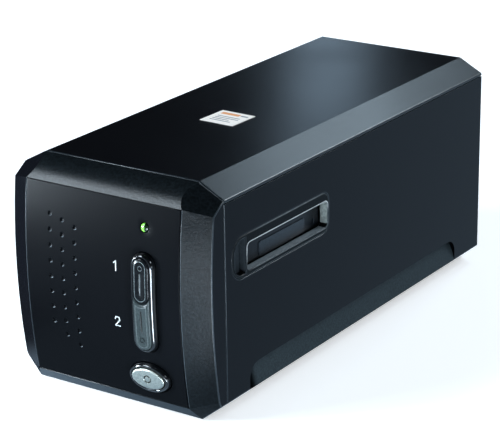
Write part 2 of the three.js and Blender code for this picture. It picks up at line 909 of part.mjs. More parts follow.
function bezelPlan(inset, faceInset, back) {
  const slope = bevelBack / bevelWidth;
  const sideInset = inset * Math.hypot(1, slope);
  const corner = panelHalfWidth + (faceInset - sideInset) / slope;
  const side = halfWidth - inset;
  const sideDepth = (side - panelHalfWidth) * slope + sideInset;
  const right = [
    [corner, faceInset],
    [side, sideDepth],
    [side, back],
  ];
  const left = right.map(([x, y]) => [-x, y]).reverse();
  return [...right, ...left];
}

function bezelForm(inset, faceInset, back) {
  const plan = bezelPlan(inset, faceInset, back);
  const column = prism(plan, [0, caseHeight], new THREE.Matrix4(), faceStepCount);
  const front = solid(followFace(column, bezelDepth));
  const sideView = prismX(bezelSideView(inset, back), [-halfWidth, halfWidth]);
  const frontView = prismY(insetOutline(caseSection(), inset), [-caseWidth, back]);
  const facets = [-1, 1].flatMap((side) => [topFacet(side), lowFacet(side)]);
  const corners = facets.map((facet) => beyondPlane(facet, inset));
  return cut(common(front, sideView, frontView), ...corners);
}

function frontBezel() {
  const outside = bezelForm(0, 0, bezelDepth);
  const ledgeBack = panelThickness + fitGap + panelLedgeThickness;
  const inside = bezelForm(caseWall, ledgeBack, bezelDepth + overrun);
  const seat = bentPlate(
    around(0, panelHalfWidth),
    [-bezelDepth, panelThickness + fitGap],
    [panelBottom, panelTop],
  );
  const opening = bentPlate(
    around(0, panelHalfWidth - panelLedge),
    [-bezelDepth, ledgeBack + overrun],
    [panelBottom + panelLedge, panelTop - panelLedge],
  );
  return cut(outside, inside, seat, opening);
}

function dimpleCups() {
  const profile = [
    [0, -overrun],
    [dimpleRadius, -overrun],
    [dimpleRadius, 0],
    [dimpleRadius * dimpleFloorShare, dimpleDepth * dimpleFloorShare],
    [0, dimpleDepth],
  ];
  return dimplePlaces().map(([x, height]) => {
    const at = facePoint(x, height);
    return turnedY(profile, dimpleSideCount).translate([at.x, at.y, at.z]);
  });
}

function dimplePlaces() {
  const first = dimpleFromEdge - panelHalfWidth;
  const highest = panelTop - dimpleFromTop;
  return dimpleRowCounts.flatMap((rowCount, column) => {
    const x = first + column * dimpleColumnSpacing;
    const start = highest - column * dimpleColumnDrop;
    const spacing = column === 0 ? firstColumnSpacing : laterColumnSpacing;
    return Array.from({ length: rowCount }, (_, row) => [x, start - row * spacing]);
  });
}

function boardPostPlaces() {
  const across = buttonBoardHalfWidth - boardPostInset;
  const low = powerHeight + powerRingHalfHeight + surroundFlange + boardPostRise;
  const heights = [low, buttonBoardTop - boardPostInset];
  return [-1, 1].flatMap((side) => heights.map((z) => [controlLine + side * across, z]));
}

function surroundOutline(extra) {
  const range = [surroundBottom - extra, surroundTop + extra];
  return uprightOval(controlLine, range, surroundHalfWidth + extra);
}

function powerOutline(extra) {
  return ellipse([controlLine, powerHeight], [powerRingHalfWidth + extra, powerRingHalfHeight + extra]);
}

function frontPanel() {
  const plate = bentPlate(
    around(0, panelHalfWidth - fitGap),
    [0, panelThickness],
    [panelBottom + fitGap, panelTop - fitGap],
  );
  const posts = boardPostPlaces().map(([x, z]) => {
    const root = faceDepth(z) + panelThickness - fitGap;
    return rodY(boardPostRadius, [root, buttonBoardFront - fitGap], [x, z], smallSideCount);
  });
  const through = [-overrun, buttonBoardFront];
  const openings = [
    prismY(surroundOutline(fitGap), through),
    prismY(powerOutline(fitGap), through),
    rodY(lampRadius + fitGap, through, [controlLine, lampHeight]),
  ];
  return cut(join(plate, ...posts), ...openings, ...dimpleCups());
}

// Controls. Each follows the face, so its depths are counted from it.

function onFace(offset) {
  return (height) => faceDepth(height) + offset;
}

function raisedRim(outlineAt, proud, taper, rim, flange) {
  const behind = panelThickness + fitGap;
  const outer = loftY([
    { outline: outlineAt(-taper), depth: onFace(-proud) },
    { outline: outlineAt(0), depth: onFace(0) },
    { outline: outlineAt(0), depth: onFace(behind + flangeThickness / 2) },
  ]);
  const back = loftY([
    { outline: outlineAt(flange), depth: onFace(behind) },
    { outline: outlineAt(flange), depth: onFace(behind + flangeThickness) },
  ]);
  const hole = loftY([
    { outline: outlineAt(-taper - rim), depth: onFace(-proud - overrun) },
    { outline: outlineAt(-taper - rim), depth: onFace(behind + flangeThickness + overrun) },
  ]);
  return cut(join(outer, back), hole);
}

function buttonSurround() {
  return raisedRim(surroundOutline, surroundProud, surroundTaper, surroundRim, surroundFlange);
}

function powerRing() {
  return raisedRim(powerOutline, powerRingProud, surroundTaper, powerRingRim, surroundFlange);
}

function switchFront() {
  return buttonBoardFront - fitGap - switchDepth - switchStem;
}

// A cap with rounded front edges, a tab that keeps it in and a plunger that meets its switch at full travel.
function buttonCap(outlineAt, proud, height) {
  const tabFront = faceDepth(height) + panelThickness + fitGap + flangeThickness + 2 * fitGap;
  const rounding = Array.from({ length: roundingStepCount + 1 }, (_, i) => {
    const angle = (Math.PI / 2) * (i / roundingStepCount);
    return {
      outline: outlineAt(-buttonEdgeWidth * (1 - Math.sin(angle))),
      depth: onFace(-proud + buttonEdge * (1 - Math.cos(angle))),
    };
  });
  const cap = loftY([...rounding, { outline: outlineAt(0), depth: () => tabFront + tabThickness / 2 }]);
  const tab = block(
    around(controlLine, tabHalfWidth),
    [tabFront, tabFront + tabThickness],
    around(height, tabHalfHeight),
  );
  const tip = switchFront() - pressTravel - pressGap;
  const plunger = rodY(plungerRadius, [tabFront, tip], [controlLine, height], smallSideCount);
  return join(cap, tab, plunger);
}

function scanButtonRange() {
  const inner = surroundTaper + surroundRim + fitGap;
  return { low: surroundBottom + inner, high: surroundTop - inner, radius: surroundHalfWidth - inner };
}

function groove([low, high]) {
  const range = around(controlLine, buttonGroove / 2);
  const outline = [
    [range[0], low],
    [range[1], low],
    [range[1], high],
    [range[0], high],
  ];
  return loftY([
    { outline, depth: onFace(-scanButtonProud - overrun) },
    { outline, depth: onFace(-scanButtonProud + buttonGrooveDepth) },
  ]);
}

function upperButton() {
  const { high, radius } = scanButtonRange();
  const outlineAt = (extra) => {
    return uprightOval(controlLine, [scanButtonJoint - extra, high + extra], radius + extra);
  };
  const middle = (scanButtonJoint + high) / 2;
  const reach = (high - scanButtonJoint) / 2 - radius / 2;
  return cut(buttonCap(outlineAt, scanButtonProud, middle), groove(around(middle, reach)));
}

// The lower button's top edge is hollow, to follow the round end of the upper one.
function lowerButton() {
  const { low, radius } = scanButtonRange();
  const joint = scanButtonJoint + radius / 2;
  const outlineAt = (extra) => {
    return uprightOval(controlLine, [low - extra, joint + radius + extra], radius + extra);
  };
  const middle = (low + joint) / 2 - radius / 2;
  const reach = (joint - low) / 2 - radius;
  const shared = faceDepth(middle) - 2 * scanButtonProud;
  const hollowAt = [controlLine, scanButtonJoint + radius];
  const hollow = rodY(radius + fitGap, [shared, buttonBoardFront], hollowAt);
  const above = block(
    around(controlLine, 2 * radius),
    [shared, buttonBoardFront],
    [scanButtonJoint + radius, surroundTop],
  );
  return cut(buttonCap(outlineAt, scanButtonProud, middle), hollow, above, groove(around(middle, reach)));
}

function powerButton() {
  const inset = surroundTaper + powerRingRim + fitGap;
  return buttonCap((extra) => powerOutline(extra - inset), powerButtonProud, powerHeight);
}

function statusLamp() {
  const behind = panelThickness + fitGap;
  const tip = switchFront() - faceDepth(lampHeight);
  const dome = Array.from({ length: domeStepCount + 1 }, (_, i) => {
    const angle = (Math.PI / 2) * (i / domeStepCount);
    return [lampRadius * Math.sin(angle), -lampProud * Math.cos(angle)];
  });
  const profile = [
    ...dome,
    [lampRadius, behind],
    [lampRadius + lampFlange, behind],
    [lampRadius + lampFlange, behind + flangeThickness],
    [lampRadius, behind + flangeThickness],
    [lampRadius, tip],
    [0, tip],
  ];
  return turnedY(profile, smallSideCount);
}

function buttonBoard() {
  const yRange = [buttonBoardFront, buttonBoardFront + boardThickness];
  const zRange = [buttonBoardBottom, buttonBoardTop];
  const plate = block(around(controlLine, buttonBoardHalfWidth), yRange, zRange);
  const through = [buttonBoardFront - overrun, buttonBoardFront + boardThickness + overrun];
  const holes = boardPostPlaces().map((at) => rodY(boardHoleRadius, through, at, smallSideCount));
  const lamp = block(
    around(controlLine, lampRadius),
    [switchFront() + fitGap, buttonBoardFront + boardThickness / 2],
    around(lampHeight, lampRadius),
  );
  return cut(join(plate, lamp), ...holes);
}

function pushSwitch(height) {
  const back = buttonBoardFront - fitGap;
  const half = switchWidth / 2;
  const body = block(around(controlLine, half), [back - switchDepth, back], around(height, half));
  const stem = rodY(switchStemRadius, [switchFront(), back], [controlLine, height], smallSideCount);
  return join(body, stem);
}

// Film slot, built for the right side.

function slotFrame() {
  const face = prismX(slotOutline(0), [slotFrameInside, halfWidth]);
  const flange = prismX(slotOutline(slotFlange), [slotFrameInside, slotWallInside]);
  const lugRange = [hingeFromCentre - hingeBarrelRadius, slotWallInside];
  const lugFloor = hingeHeight - hingeBarrelRadius;
  const lugs = hingeLugs().map((yRange) => block(lugRange, yRange, [lugFloor, slotCeiling]));
  const mouth = prismX(
    roundedRectangle([mouthFront, mouthRear], [mouthFloor, mouthCeiling], mouthRadius),
    [0, caseWidth],
  );
  return cut(join(face, flange, ...lugs), mouth, hingeBore(), leadInDish());
}

function hingeBore() {
  return rodY(hingePinRadius + fitGap, [0, caseLength], [hingeFromCentre, hingeHeight], smallSideCount);
}

function hingeLugs() {
  return [
    [mouthFront - hingeLugWidth, mouthFront],
    [mouthRear, mouthRear + hingeLugWidth],
  ];
}

// The hollow in front of the slot: part of an upright drum, deepest at the lip that parts it from the mouth.
function leadInDish() {
  const radius = (dishLead ** 2 + dishDepth ** 2) / (2 * dishDepth);
  const deepest = mouthFront - dishLip;
  const drum = rodZ(radius, [slotFloor + dishMargin, slotCeiling - dishMargin], [
    halfWidth - dishDepth + radius,
    deepest,
  ]);
  const ahead = block([0, caseWidth], [0, deepest], [slotFloor, slotCeiling]);
  const corners = prismX(slotOutline(-dishMargin), [0, caseWidth]);
  return common(drum, ahead, corners);
}

function flapRange() {
  return [mouthFront + flapSideGap, mouthRear - flapSideGap];
}

function dustFlap() {
  const [front, rear] = flapRange();
  const outer = flapOutside;
  const low = mouthFloor + flapFloorGap;
  const zRange = [low, hingeHeight - hingeBarrelRadius / 2];
  const plate = block([outer - flapThickness, outer], [front, rear], zRange);
  const barrelFront = front + springLength + flapSideGap;
  const hinge = [hingeFromCentre, hingeHeight];
  const barrel = rodY(hingeBarrelRadius, [barrelFront, rear], hinge, smallSideCount);
  const pad = prismY(
    [
      [outer - flapThickness / 2, low],
      [outer + flapPadThickness, low],
      [outer + flapPadThickness, low + flapPadHeight - flapPadThickness],
      [outer, low + flapPadHeight],
      [outer - flapThickness / 2, low + flapPadHeight],
    ],
    [mouthFront + flapPadFromFront, mouthRear - flapPadFromRear],
  );
  const above = block(
    [outer - 2 * hingeBarrelRadius, outer + hingeBarrelRadius],
    [front - overrun, barrelFront],
    [mouthCeiling - flapSideGap, hingeHeight + hingeBarrelRadius],
  );
  return cut(join(plate, barrel, pad), above, hingeBore());
}

function flapPin() {
  const [frontLug, rearLug] = hingeLugs();
  return rodY(hingePinRadius, [frontLug[0], rearLug[1]], [hingeFromCentre, hingeHeight], smallSideCount);
}

// A wire coiled round the hinge pin, with a short tail to the frame's lug and a long leg down behind
// the flap.
function flapSpring() {
  const front = mouthFront + 2 * flapSideGap;
  const pitch = (springLength - 2 * flapSideGap) / springTurnCount;
  const coilPointCount = springTurnCount * springStepCount;
  const coil = Array.from({ length: coilPointCount + 1 }, (_, i) => {
    const angle = Math.PI + (2 * Math.PI * i) / springStepCount;
    const x = hingeFromCentre + springCoilRadius * Math.cos(angle);
    const z = hingeHeight + springCoilRadius * Math.sin(angle);
    return new THREE.Vector3(x, front + (pitch * i) / springStepCount, z);
  });
  const tail = coil[0].clone().setY(mouthFront + fitGap);
  const leg = coil[coilPointCount].clone().setZ(hingeHeight - springLeg);
  return wire([tail, ...coil, leg], springWireRadius);
}

// A round wire through the given points, with mitred bends.
function wire(points, radius) {
  const sideCount = wireSideCount;
  const positions = [];
  let across = unitX.clone();
  points.forEach((point, i) => {
    const before = points[Math.max(i - 1, 0)];
    const after = points[Math.min(i + 1, points.length - 1)];
    const along = after.clone().sub(before).normalize();
    across = across.sub(along.clone().multiplyScalar(across.dot(along))).normalize();
    const other = along.clone().cross(across);
    for (let s = 0; s < sideCount; s++) {
      const angle = (2 * Math.PI * s) / sideCount;
      const offset = across.clone().multiplyScalar(radius * Math.cos(angle));
      offset.addScaledVector(other, radius * Math.sin(angle)).add(point);
      positions.push(offset.x, offset.y, offset.z);
    }
  });
  const indices = [];
  for (let i = 0; i + 1 < points.length; i++) {
    for (let s = 0; s < sideCount; s++) {
      const next = (s + 1) % sideCount;
      const here = i * sideCount;
      const there = here + sideCount;
      indices.push(here + s, here + next, there + next, here + s, there + next, there + s);
    }
  }
  const last = (points.length - 1) * sideCount;
  for (let s = 1; s + 1 < sideCount; s++) indices.push(0, s + 1, s, last, last + s, last + s + 1);
  const geometry = new THREE.BufferGeometry();
  geometry.setAttribute("position", new THREE.Float32BufferAttribute(positions, 3));
  geometry.setIndex(indices);
  return solid(geometry);
}

function slotSide(name, placed) {
  return group(
    piece(`slot_frame_${name}`, placed(slotFrame()), blackGloss),
    piece(`dust_flap_${name}`, placed(dustFlap()), darkPlastic),
    piece(`flap_pin_${name}`, placed(flapPin()), steel),
    piece(`flap_spring_${name}`, placed(flapSpring()), steel),
  );
}

// Film track.

function trackInside() {
  return [mouthFront + trackSideGap, mouthRear - trackSideGap];
}

function filmTrack() {
  const [front, rear] = trackInside();
  const profile = [
    [front - trackWall, trackFloorBottom],
    [rear + trackWall, trackFloorBottom],
    [rear + trackWall, trackWallTop],
    [rear, trackWallTop],
    [rear, trackFloorTop],
    [front, trackFloorTop],
    [front, trackWallTop],
    [front - trackWall, trackWallTop],
  ];
  const channel = prismX(profile, around(0, trackHalfLength));
  const lipLength = around(0, trackHalfLength - trackLipEndGap);
  const lipRange = [trackWallTop - trackLipThickness, trackWallTop];
  const lips = [
    block(lipLength, [front - fitGap, front + trackLip], lipRange),
    block(lipLength, [rear - trackLip, rear + fitGap], lipRange),
  ];
  const legRange = [chassisTop + fitGap, trackFloorTop - fitGap];
  const legs = [front - trackWall, rear + trackWall - trackLegSize].flatMap((y) =>
    [-1, 1].map((side) => {
      const x = side * (trackHalfLength - trackLegSize);
      return block(around(x, trackLegSize / 2), [y, y + trackLegSize], legRange);
    }),
  );
  const scanned = [scanHome - scanTravel - trackWindowMargin, scanHome + trackWindowMargin];
  const across = around(0, carriageHalfWidth - trackWindowSideGap);
  const window = block(across, scanned, [trackFloorBottom - overrun, trackWallTop]);
  return cut(join(channel, ...lips, ...legs), window);
}

// A leaf with a crown that clicks into the holder's notches.
function detentSpring() {
  const rear = trackInside()[1] - fitGap;
  const crown = Array.from({ length: detentPointCount + 1 }, (_, i) => {
    const share = i / detentPointCount;
    const rise = detentRise * Math.sin(Math.PI * share) ** 2;
    return [detentHalfLength * (2 * share - 1), rear - detentThickness - rise];
  });
  const backs = crown.map(([x, y]) => [x, y + detentThickness]).reverse();
  const middle = (trackFloorTop + trackWallTop - trackLipThickness) / 2;
  return prismZ([...crown, ...backs], around(middle, detentHeight / 2));
}

// Chassis and guide rods.

function chassis() {
  const plate = block(
    around(0, chassisHalfWidth),
    [chassisFront, chassisRear],
    [chassisBottom, chassisTop],
  );
  const tabs = [rodFront, rodRear - rodTabThickness].flatMap((y) =>
    [-1, 1].map((side) => {
      const wide = around(side * rodSpread, rodTabHalfWidth);
      const narrow = around(side * rodSpread, rodTabTopHalfWidth);
      const outline = [
        [wide[0], chassisTop - fitGap],
        [wide[1], chassisTop - fitGap],
        [wide[1], rodHeight],
        [narrow[1], rodHeight + rodTabAbove],
        [narrow[0], rodHeight + rodTabAbove],
        [wide[0], rodHeight],
      ];
      return prismY(outline, [y, y + rodTabThickness]);
    }),
  );
  const rodHoles = [-1, 1].map((side) =>
    rodY(rodRadius + fitGap, [0, caseLength], [side * rodSpread, rodHeight]),
  );
  const screwHoles = chassisPlaces().map((at) =>
    rodZ(chassisHoleRadius, [chassisBottom - overrun, chassisTop + overrun], at, smallSideCount),
  );
  const lightening = prismZ(
    roundedRectangle(
      around(0, rodSpread / 2),
      [idlerFromFront + chassisWindowFromIdler, gearFromFront - chassisWindowFromGear],
      chassisPostRadius,
    ),
    [chassisBottom - overrun, chassisTop + overrun],
  );
  return cut(join(plate, ...tabs), ...rodHoles, ...screwHoles, lightening);
}

function guideRod(side) {
  return rodY(rodRadius, [rodFront - fitGap, rodRear + fitGap], [side * rodSpread, rodHeight]);
}

// Scan carriage. Y counts from the scan line.

function carriage() {
  const outer = around(0, carriageHalfWidth);
  const inner = around(0, carriageHalfWidth - carriageWall);
  const bodyRange = [carriageFront, carriageRear];
  const tub = block(outer, bodyRange, [carriageFloor, carriageWallTop]);
  const hollow = block(
    inner,
    [carriageFront + carriageWall, carriageRear - carriageWall],
    [carriageFloorTop, carriageWallTop + overrun],
  );
  const spine = block(outer, [spineFront, spineRear], [mirrorHeight + lensRadius + fitGap, armTop]);
  const sensorWindow = block(
    around(0, sensorHalfWidth() + fitGap),
    [carriageRear - carriageWall - overrun, carriageRear + overrun],
    around(mirrorHeight, sensorHalfHeight + fitGap),
  );
  const shell = join(cut(tub, hollow), spine, upperArm(), ...mirrorRibs(), lensSaddle(), beltClamp());
  const guides = [rodEye(frontEye), rodEye(rearEye), guideShoe()];
  return cut(join(shell, ...guides), sensorWindow, ...eyeBores());
}

// A channel that is open below, closed over the lamp by a front box and stiffened by ribs.
function upperArm() {
  const full = block(around(0, carriageHalfWidth), [carriageFront, spineRear], [armBottom, armTop]);
  const inner = around(0, carriageHalfWidth - carriageWall);
  const hollow = block(
    inner,
    [carriageFront + carriageWall, spineFront],
    [armBottom - overrun, armTop - carriageWall],
  );
  const across = around(0, carriageHalfWidth - fitGap);
  const ribs = [armRibFront, (armRibFront + spineFront) / 2].map((y) =>
    block(across, around(y, armRibThickness / 2), [armBottom, armTop - fitGap]),
  );
  return join(cut(full, hollow), ...ribs);
}

function mirrorRibs() {
  const back = (mirrorThickness / 2 + fitGap) * Math.SQRT2;
  const floor = carriageFloorTop - fitGap;
  const drop = mirrorHeight - back - floor;
  const outline = [
    [-mirrorReach, floor],
    [drop, floor],
    [-mirrorReach, mirrorHeight - back + mirrorReach],
  ];
  return [-1, 1].map((side) => {
    const x = side * (carriageHalfWidth - cradleRibInset);
    return prismX(outline, around(x, cradleRibThickness / 2));
  });
}

function foldMirror() {
  const width = 2 * (carriageHalfWidth - mirrorSideGap);
  const plate = new THREE.BoxGeometry(width, mirrorLength, mirrorThickness);
  return solid(plate.rotateX(-Math.PI / 4).translate(0, 0, mirrorHeight));
}

function lensSaddle() {
  const yRange = [lensFront + lensSaddleInset, lensRear - lensSaddleInset];
  const floor = carriageFloorTop - fitGap;
  const half = lensRadius + lensSaddleSide;
  const seat = block(around(0, half), yRange, [floor, mirrorHeight - lensSaddleDrop]);
  return cut(seat, rodY(lensRadius + fitGap, [0, carriageRear], [0, mirrorHeight]));
}

function beltRun() {
  return beltPulleyRadius + fitGap + beltThickness / 2;
}

function beltClamp() {
  const yRange = [clampAhead, clampAhead + clampLength];
  const inside = beltRun() - beltThickness / 2 - fitGap;
  const outside = beltRun() + beltThickness / 2 + fitGap;
  const zRange = [beltBottom, carriageFloor + fitGap];
  return join(
    block([inside - clampWall, inside], yRange, zRange),
    block([outside, outside + clampWall], yRange, zRange),
  );
}

function eyeRange(start) {
  return [start, start + bushLength];
}

function rodEye(start) {
  const radius = bushOuterRadius + fitGap + eyeWall;
  const ring = rodY(radius, eyeRange(start), [-rodSpread, rodHeight]);
  const arm = block(
    [-rodSpread, -carriageHalfWidth + fitGap],
    eyeRange(start),
    around(rodHeight, radius - eyeWall),
  );
  return join(ring, arm);
}

function eyeBores() {
  return [frontEye, rearEye].map((start) =>
    rodY(bushOuterRadius + fitGap, [start - overrun, start + bushLength + overrun], [-rodSpread, rodHeight]),
  );
}

function rodBush(start) {
  const at = [-rodSpread, rodHeight];
  const through = [start - overrun, start + bushLength + overrun];
  return cut(rodY(bushOuterRadius, eyeRange(start), at), rodY(rodRadius + fitGap, through, at));
}

// A fork that only keeps the carriage level on the second rod.
function guideShoe() {
  const yRange = around(shoeShare * carriageRear, shoeLength / 2);
  const halfSlot = rodRadius + fitGap;
  const xRange = [carriageHalfWidth - fitGap, rodSpread + rodRadius];
  return join(
    block(xRange, yRange, [rodHeight + halfSlot, rodHeight + halfSlot + shoeThickness]),
    block(xRange, yRange, [rodHeight - halfSlot - shoeThickness, rodHeight - halfSlot]),
  );
}

function carriageLid() {
  const bottom = carriageWallTop + fitGap;
  const top = bottom + lidThickness;
  const yRange = [lidFront, spineFront - fitGap];
  const plate = block(around(0, carriageHalfWidth), yRange, [bottom, top]);
  const across = around(0, carriageHalfWidth - carriageWall);
  const pitch = (yRange[1] - yRange[0]) / lidRibCount;
  const ribs = Array.from({ length: lidRibCount }, (_, i) => {
    const y = yRange[0] + (pitch * (2 * i + 1)) / 2;
    return block(across, around(y, lidRib / 2), [bottom, top + lidRib]);
  });
  return join(plate, ...ribs);
}

function lensBarrel() {
  const ring = lensRadius - lensRingRise;
  const step = lensFront + glassThickness + fitGap;
  const profile = [
    [lensBore + fitGap, lensFront],
    [ring, lensFront],
    [ring, lensFront + lensRingWidth],
    [lensRadius, lensFront + lensRingWidth],
    [lensRadius, lensRear - lensRingWidth],
    [ring, lensRear - lensRingWidth],
    [ring, lensRear],
    [lensBore - lensRingRise, lensRear],
    [lensBore - lensRingRise, step],
    [lensBore + fitGap, step],
    [lensBore + fitGap, lensFront],
  ];
  return turnedY(profile);
}

function lensGlass() {
  const back = lensFront + glassThickness;
  const crown = Array.from({ length: domeStepCount + 1 }, (_, i) => {
    const share = i / domeStepCount;
    return [lensBore * share, lensFront - glassCrown * (1 - share ** 2)];
  });
  return turnedY([...crown, [lensBore, back], [0, back]]);
}

function sensorBoardFace() {
  return carriageRear + fitGap;
}

function sensorBoard() {
  const face = sensorBoardFace();
  const across = around(0, carriageHalfWidth - sensorBoardInset);
  return block(across, [face, face + boardThickness], [carriageFloor, sensorBoardTop]);
}

function sensorHalfWidth() {
  return carriageHalfWidth - sensorInset;
}

function lineSensor() {
  const back = sensorBoardFace() - fitGap;
  const body = block(
    around(0, sensorHalfWidth()),
    [back - sensorDepth, back],
    around(mirrorHeight, sensorHalfHeight),
  );
  const recess = block(
    around(0, sensorHalfWidth() - sensorHalfHeight),
    [back - sensorDepth - overrun, back - sensorDepth + fitGap],
    around(mirrorHeight, sensorLineHalfHeight),
  );
  return cut(body, recess);
}

function lampBoard() {
  const bottom = lampBoardHeight;
  const half = carriageHalfWidth - lampBoardInset;
  const top = armTop - carriageWall - fitGap;
  const plate = block(around(0, half), around(0, lampBoardHalfDepth), [bottom, top]);
  const pitch = (2 * (half - ledSize)) / (ledCount - 1);
  const leds = Array.from({ length: ledCount }, (_, i) => {
    const x = ledSize - half + pitch * i;
    return block(around(x, ledSize / 2), around(0, ledSize / 2), [bottom - ledHeight, bottom + fitGap]);
  });
  return join(plate, ...leds);
}

function lampDiffuser() {
  const rise = armBottom + diffuserThickness;
  const outline = [
    [-diffuserHalfDepth, armBottom + fitGap],
    [-diffuserCrownHalfDepth, armBottom],
    [diffuserCrownHalfDepth, armBottom],
    [diffuserHalfDepth, armBottom + fitGap],
    [diffuserHalfDepth, rise],
    [-diffuserHalfDepth, rise],
  ];
  return prismX(outline, around(0, carriageHalfWidth - diffuserInset));
}

function carriageAssembly() {
  const assembly = group(
    piece("scan_carriage", carriage(), darkPlastic),
    piece("carriage_lid", carriageLid(), darkPlastic),
    piece("fold_mirror", foldMirror(), opticalGlass),
    onOpticalAxis(piece("lens_barrel", lensBarrel(), blackGloss)),
    onOpticalAxis(piece("lens_glass", lensGlass(), opticalGlass)),
    piece("sensor_board", sensorBoard(), boardGreen),
    piece("line_sensor", lineSensor(), darkPlastic),
    piece("lamp_board", lampBoard(), boardGreen),
    piece("lamp_diffuser", lampDiffuser(), whitePlastic),
    piece("rod_bush_front", rodBush(frontEye), brass),
    piece("rod_bush_rear", rodBush(rearEye), brass),
  );
  assembly.position.y = scanHome;
  return assembly;
}

function onOpticalAxis(mesh) {
  mesh.position.z = mirrorHeight;
  return mesh;
}

// Belt drive.

function pulleyProfile(boreRadius, top) {
  const low = beltBottom - fitGap - pulleyFlangeThickness;
  const grooveLow = beltBottom - fitGap;
  const grooveHigh = beltBottom + beltHeight + fitGap;
  const flange = beltPulleyRadius + pulleyFlange;
  return [
    [boreRadius, low],
    [flange, low],
    [flange, grooveLow],
    [beltPulleyRadius, grooveLow],
    [beltPulleyRadius, grooveHigh],
    [flange, grooveHigh],
    [flange, grooveHigh + pulleyFlangeThickness],
    ...top,
    [boreRadius, low],
  ];
}

function axleBore() {
  return axleRadius + fitGap;
}

// Teeth with straight flanks, narrowed by the backlash so that they run free.
function toothedOutline(toothCount, turnShare) {
  const pitchRadius = (toothSpacing * toothCount) / (2 * Math.PI);
  const tip = pitchRadius + toothCrown;
  const root = pitchRadius - toothFoot;
  const pitchAngle = (2 * Math.PI) / toothCount;
  const slack = toothBacklash / pitchRadius / 2;
  return Array.from({ length: toothCount }, (_, i) => {
    const middle = pitchAngle * (i + turnShare);
    const tipHalf = (pitchAngle * toothTipShare - slack) / 2;
    const rootHalf = (pitchAngle * toothRootShare - slack) / 2;
    const at = (radius, angle) => [radius * Math.cos(angle), radius * Math.sin(angle)];
    return [
      at(root, middle - rootHalf),
      at(tip, middle - tipHalf),
      at(tip, middle + tipHalf),
      at(root, middle + rootHalf),
    ];
  }).flat();
}

function driveGear() {
  const rimInside = gearPitchRadius - toothFoot - gearRimWidth;
  const hub = turnedZ(
    pulleyProfile(axleBore(), [
      [gearHubRadius, beltBottom + beltHeight + fitGap + pulleyFlangeThickness],
      [gearHubRadius, gearTop],
      [axleBore(), gearTop],
    ]),
  );
  const rim = cut(
    prismZ(toothedOutline(gearToothCount, 0), [gearBottom, gearTop]),
    rodZ(rimInside, [gearBottom + gearWebThickness, gearTop + overrun], [0, 0]),
    rodZ(gearHubRadius - fitGap, [gearBottom - overrun, gearTop + overrun], [0, 0]),
  );
  return join(hub, rim);
}

function idlerPulley() {
  const top = beltBottom + beltHeight + fitGap + pulleyFlangeThickness;
  return turnedZ(pulleyProfile(axleBore(), [[axleBore(), top]]));
}

// A stud from the chassis plate, with a head that keeps its wheel on.
function axle(wheelTop) {
  const headBottom = wheelTop + fitGap;
  const profile = [
    [0, chassisTop + fitGap],
    [axleHeadRadius, chassisTop + fitGap],
    [axleHeadRadius, beltBottom - 2 * fitGap - pulleyFlangeThickness],
    [axleRadius, beltBottom - 2 * fitGap - pulleyFlangeThickness],
    [axleRadius, headBottom],
    [axleHeadRadius, headBottom],
    [axleHeadRadius, headBottom + axleHeadThickness],
    [0, headBottom + axleHeadThickness],
  ];
  return turnedZ(profile, smallSideCount);
}

function motorPinion() {
  const top = gearTop + fitGap;
  const outline = toothedOutline(pinionToothCount, pinionPhaseShare);
  const teeth = prismZ(outline, [gearBottom - fitGap, top]);
  const shaft = rodZ(motorShaftRadius, [motorTop - motorBossHeight, top], [0, 0], smallSideCount);
  return join(teeth, shaft);
}

function stepperMotor() {
  const bottom = chassisTop + fitGap;
  const earReach = motorRadius + motorEarRadius;
  const can = rodZ(motorRadius, [bottom, motorTop - motorFlangeThickness], [0, 0]);
  const flangeRange = [motorTop - 2 * motorFlangeThickness, motorTop - motorFlangeThickness];
  const ears = [-1, 1].map((side) =>
    rodZ(motorEarRadius, flangeRange, [0, side * earReach], smallSideCount),
  );
  const bridge = block(around(0, motorEarRadius), around(0, earReach), flangeRange);
  const bossRange = [motorTop - 2 * motorFlangeThickness, motorTop];
  const boss = rodZ(motorBossRadius, bossRange, [0, 0], smallSideCount);
  const boreRange = [motorTop - 2 * motorBossHeight, motorTop + overrun];
  const bore = rodZ(motorShaftRadius + fitGap, boreRange, [0, 0], smallSideCount);
  const holes = [-1, 1].map((side) =>
    rodZ(chassisHoleRadius, [bottom, motorTop + overrun], [0, side * earReach], smallSideCount),
  );
  return cut(join(can, ...ears, bridge, boss), bore, ...holes);
}

function driveBelt() {
  const loop = (radius) =>
    roundedRectangle(around(0, radius), [idlerFromFront - radius, gearFromFront + radius], radius);
  const inner = beltRun() - beltThickness / 2;
  const outer = beltRun() + beltThickness / 2;
  const zRange = [beltBottom, beltBottom + beltHeight];
  const hollow = prismZ(loop(inner), [beltBottom - overrun, beltBottom + beltHeight + overrun]);
  return cut(prismZ(loop(outer), zRange), hollow);
}

function driveAssembly() {
  const idlerTop = beltBottom + beltHeight + fitGap + pulleyFlangeThickness;
  const gearStation = group(
    piece("drive_gear", driveGear(), nylon),
    piece("gear_axle", axle(gearTop), steel),
  );
  gearStation.position.y = gearFromFront;
  const motorStation = group(
    piece("motor_pinion", motorPinion(), brass),
    piece("stepper_motor", stepperMotor(), sheetSteel),
  );
  motorStation.position.set(motorFromCentre, gearFromFront, 0);
  const idlerStation = group(
    piece("idler_pulley", idlerPulley(), nylon),
    piece("idler_axle", axle(idlerTop), steel),
  );
  idlerStation.position.y = idlerFromFront;
  return group(gearStation, motorStation, idlerStation, piece("drive_belt", driveBelt(), rubber));
}

// Electronics.

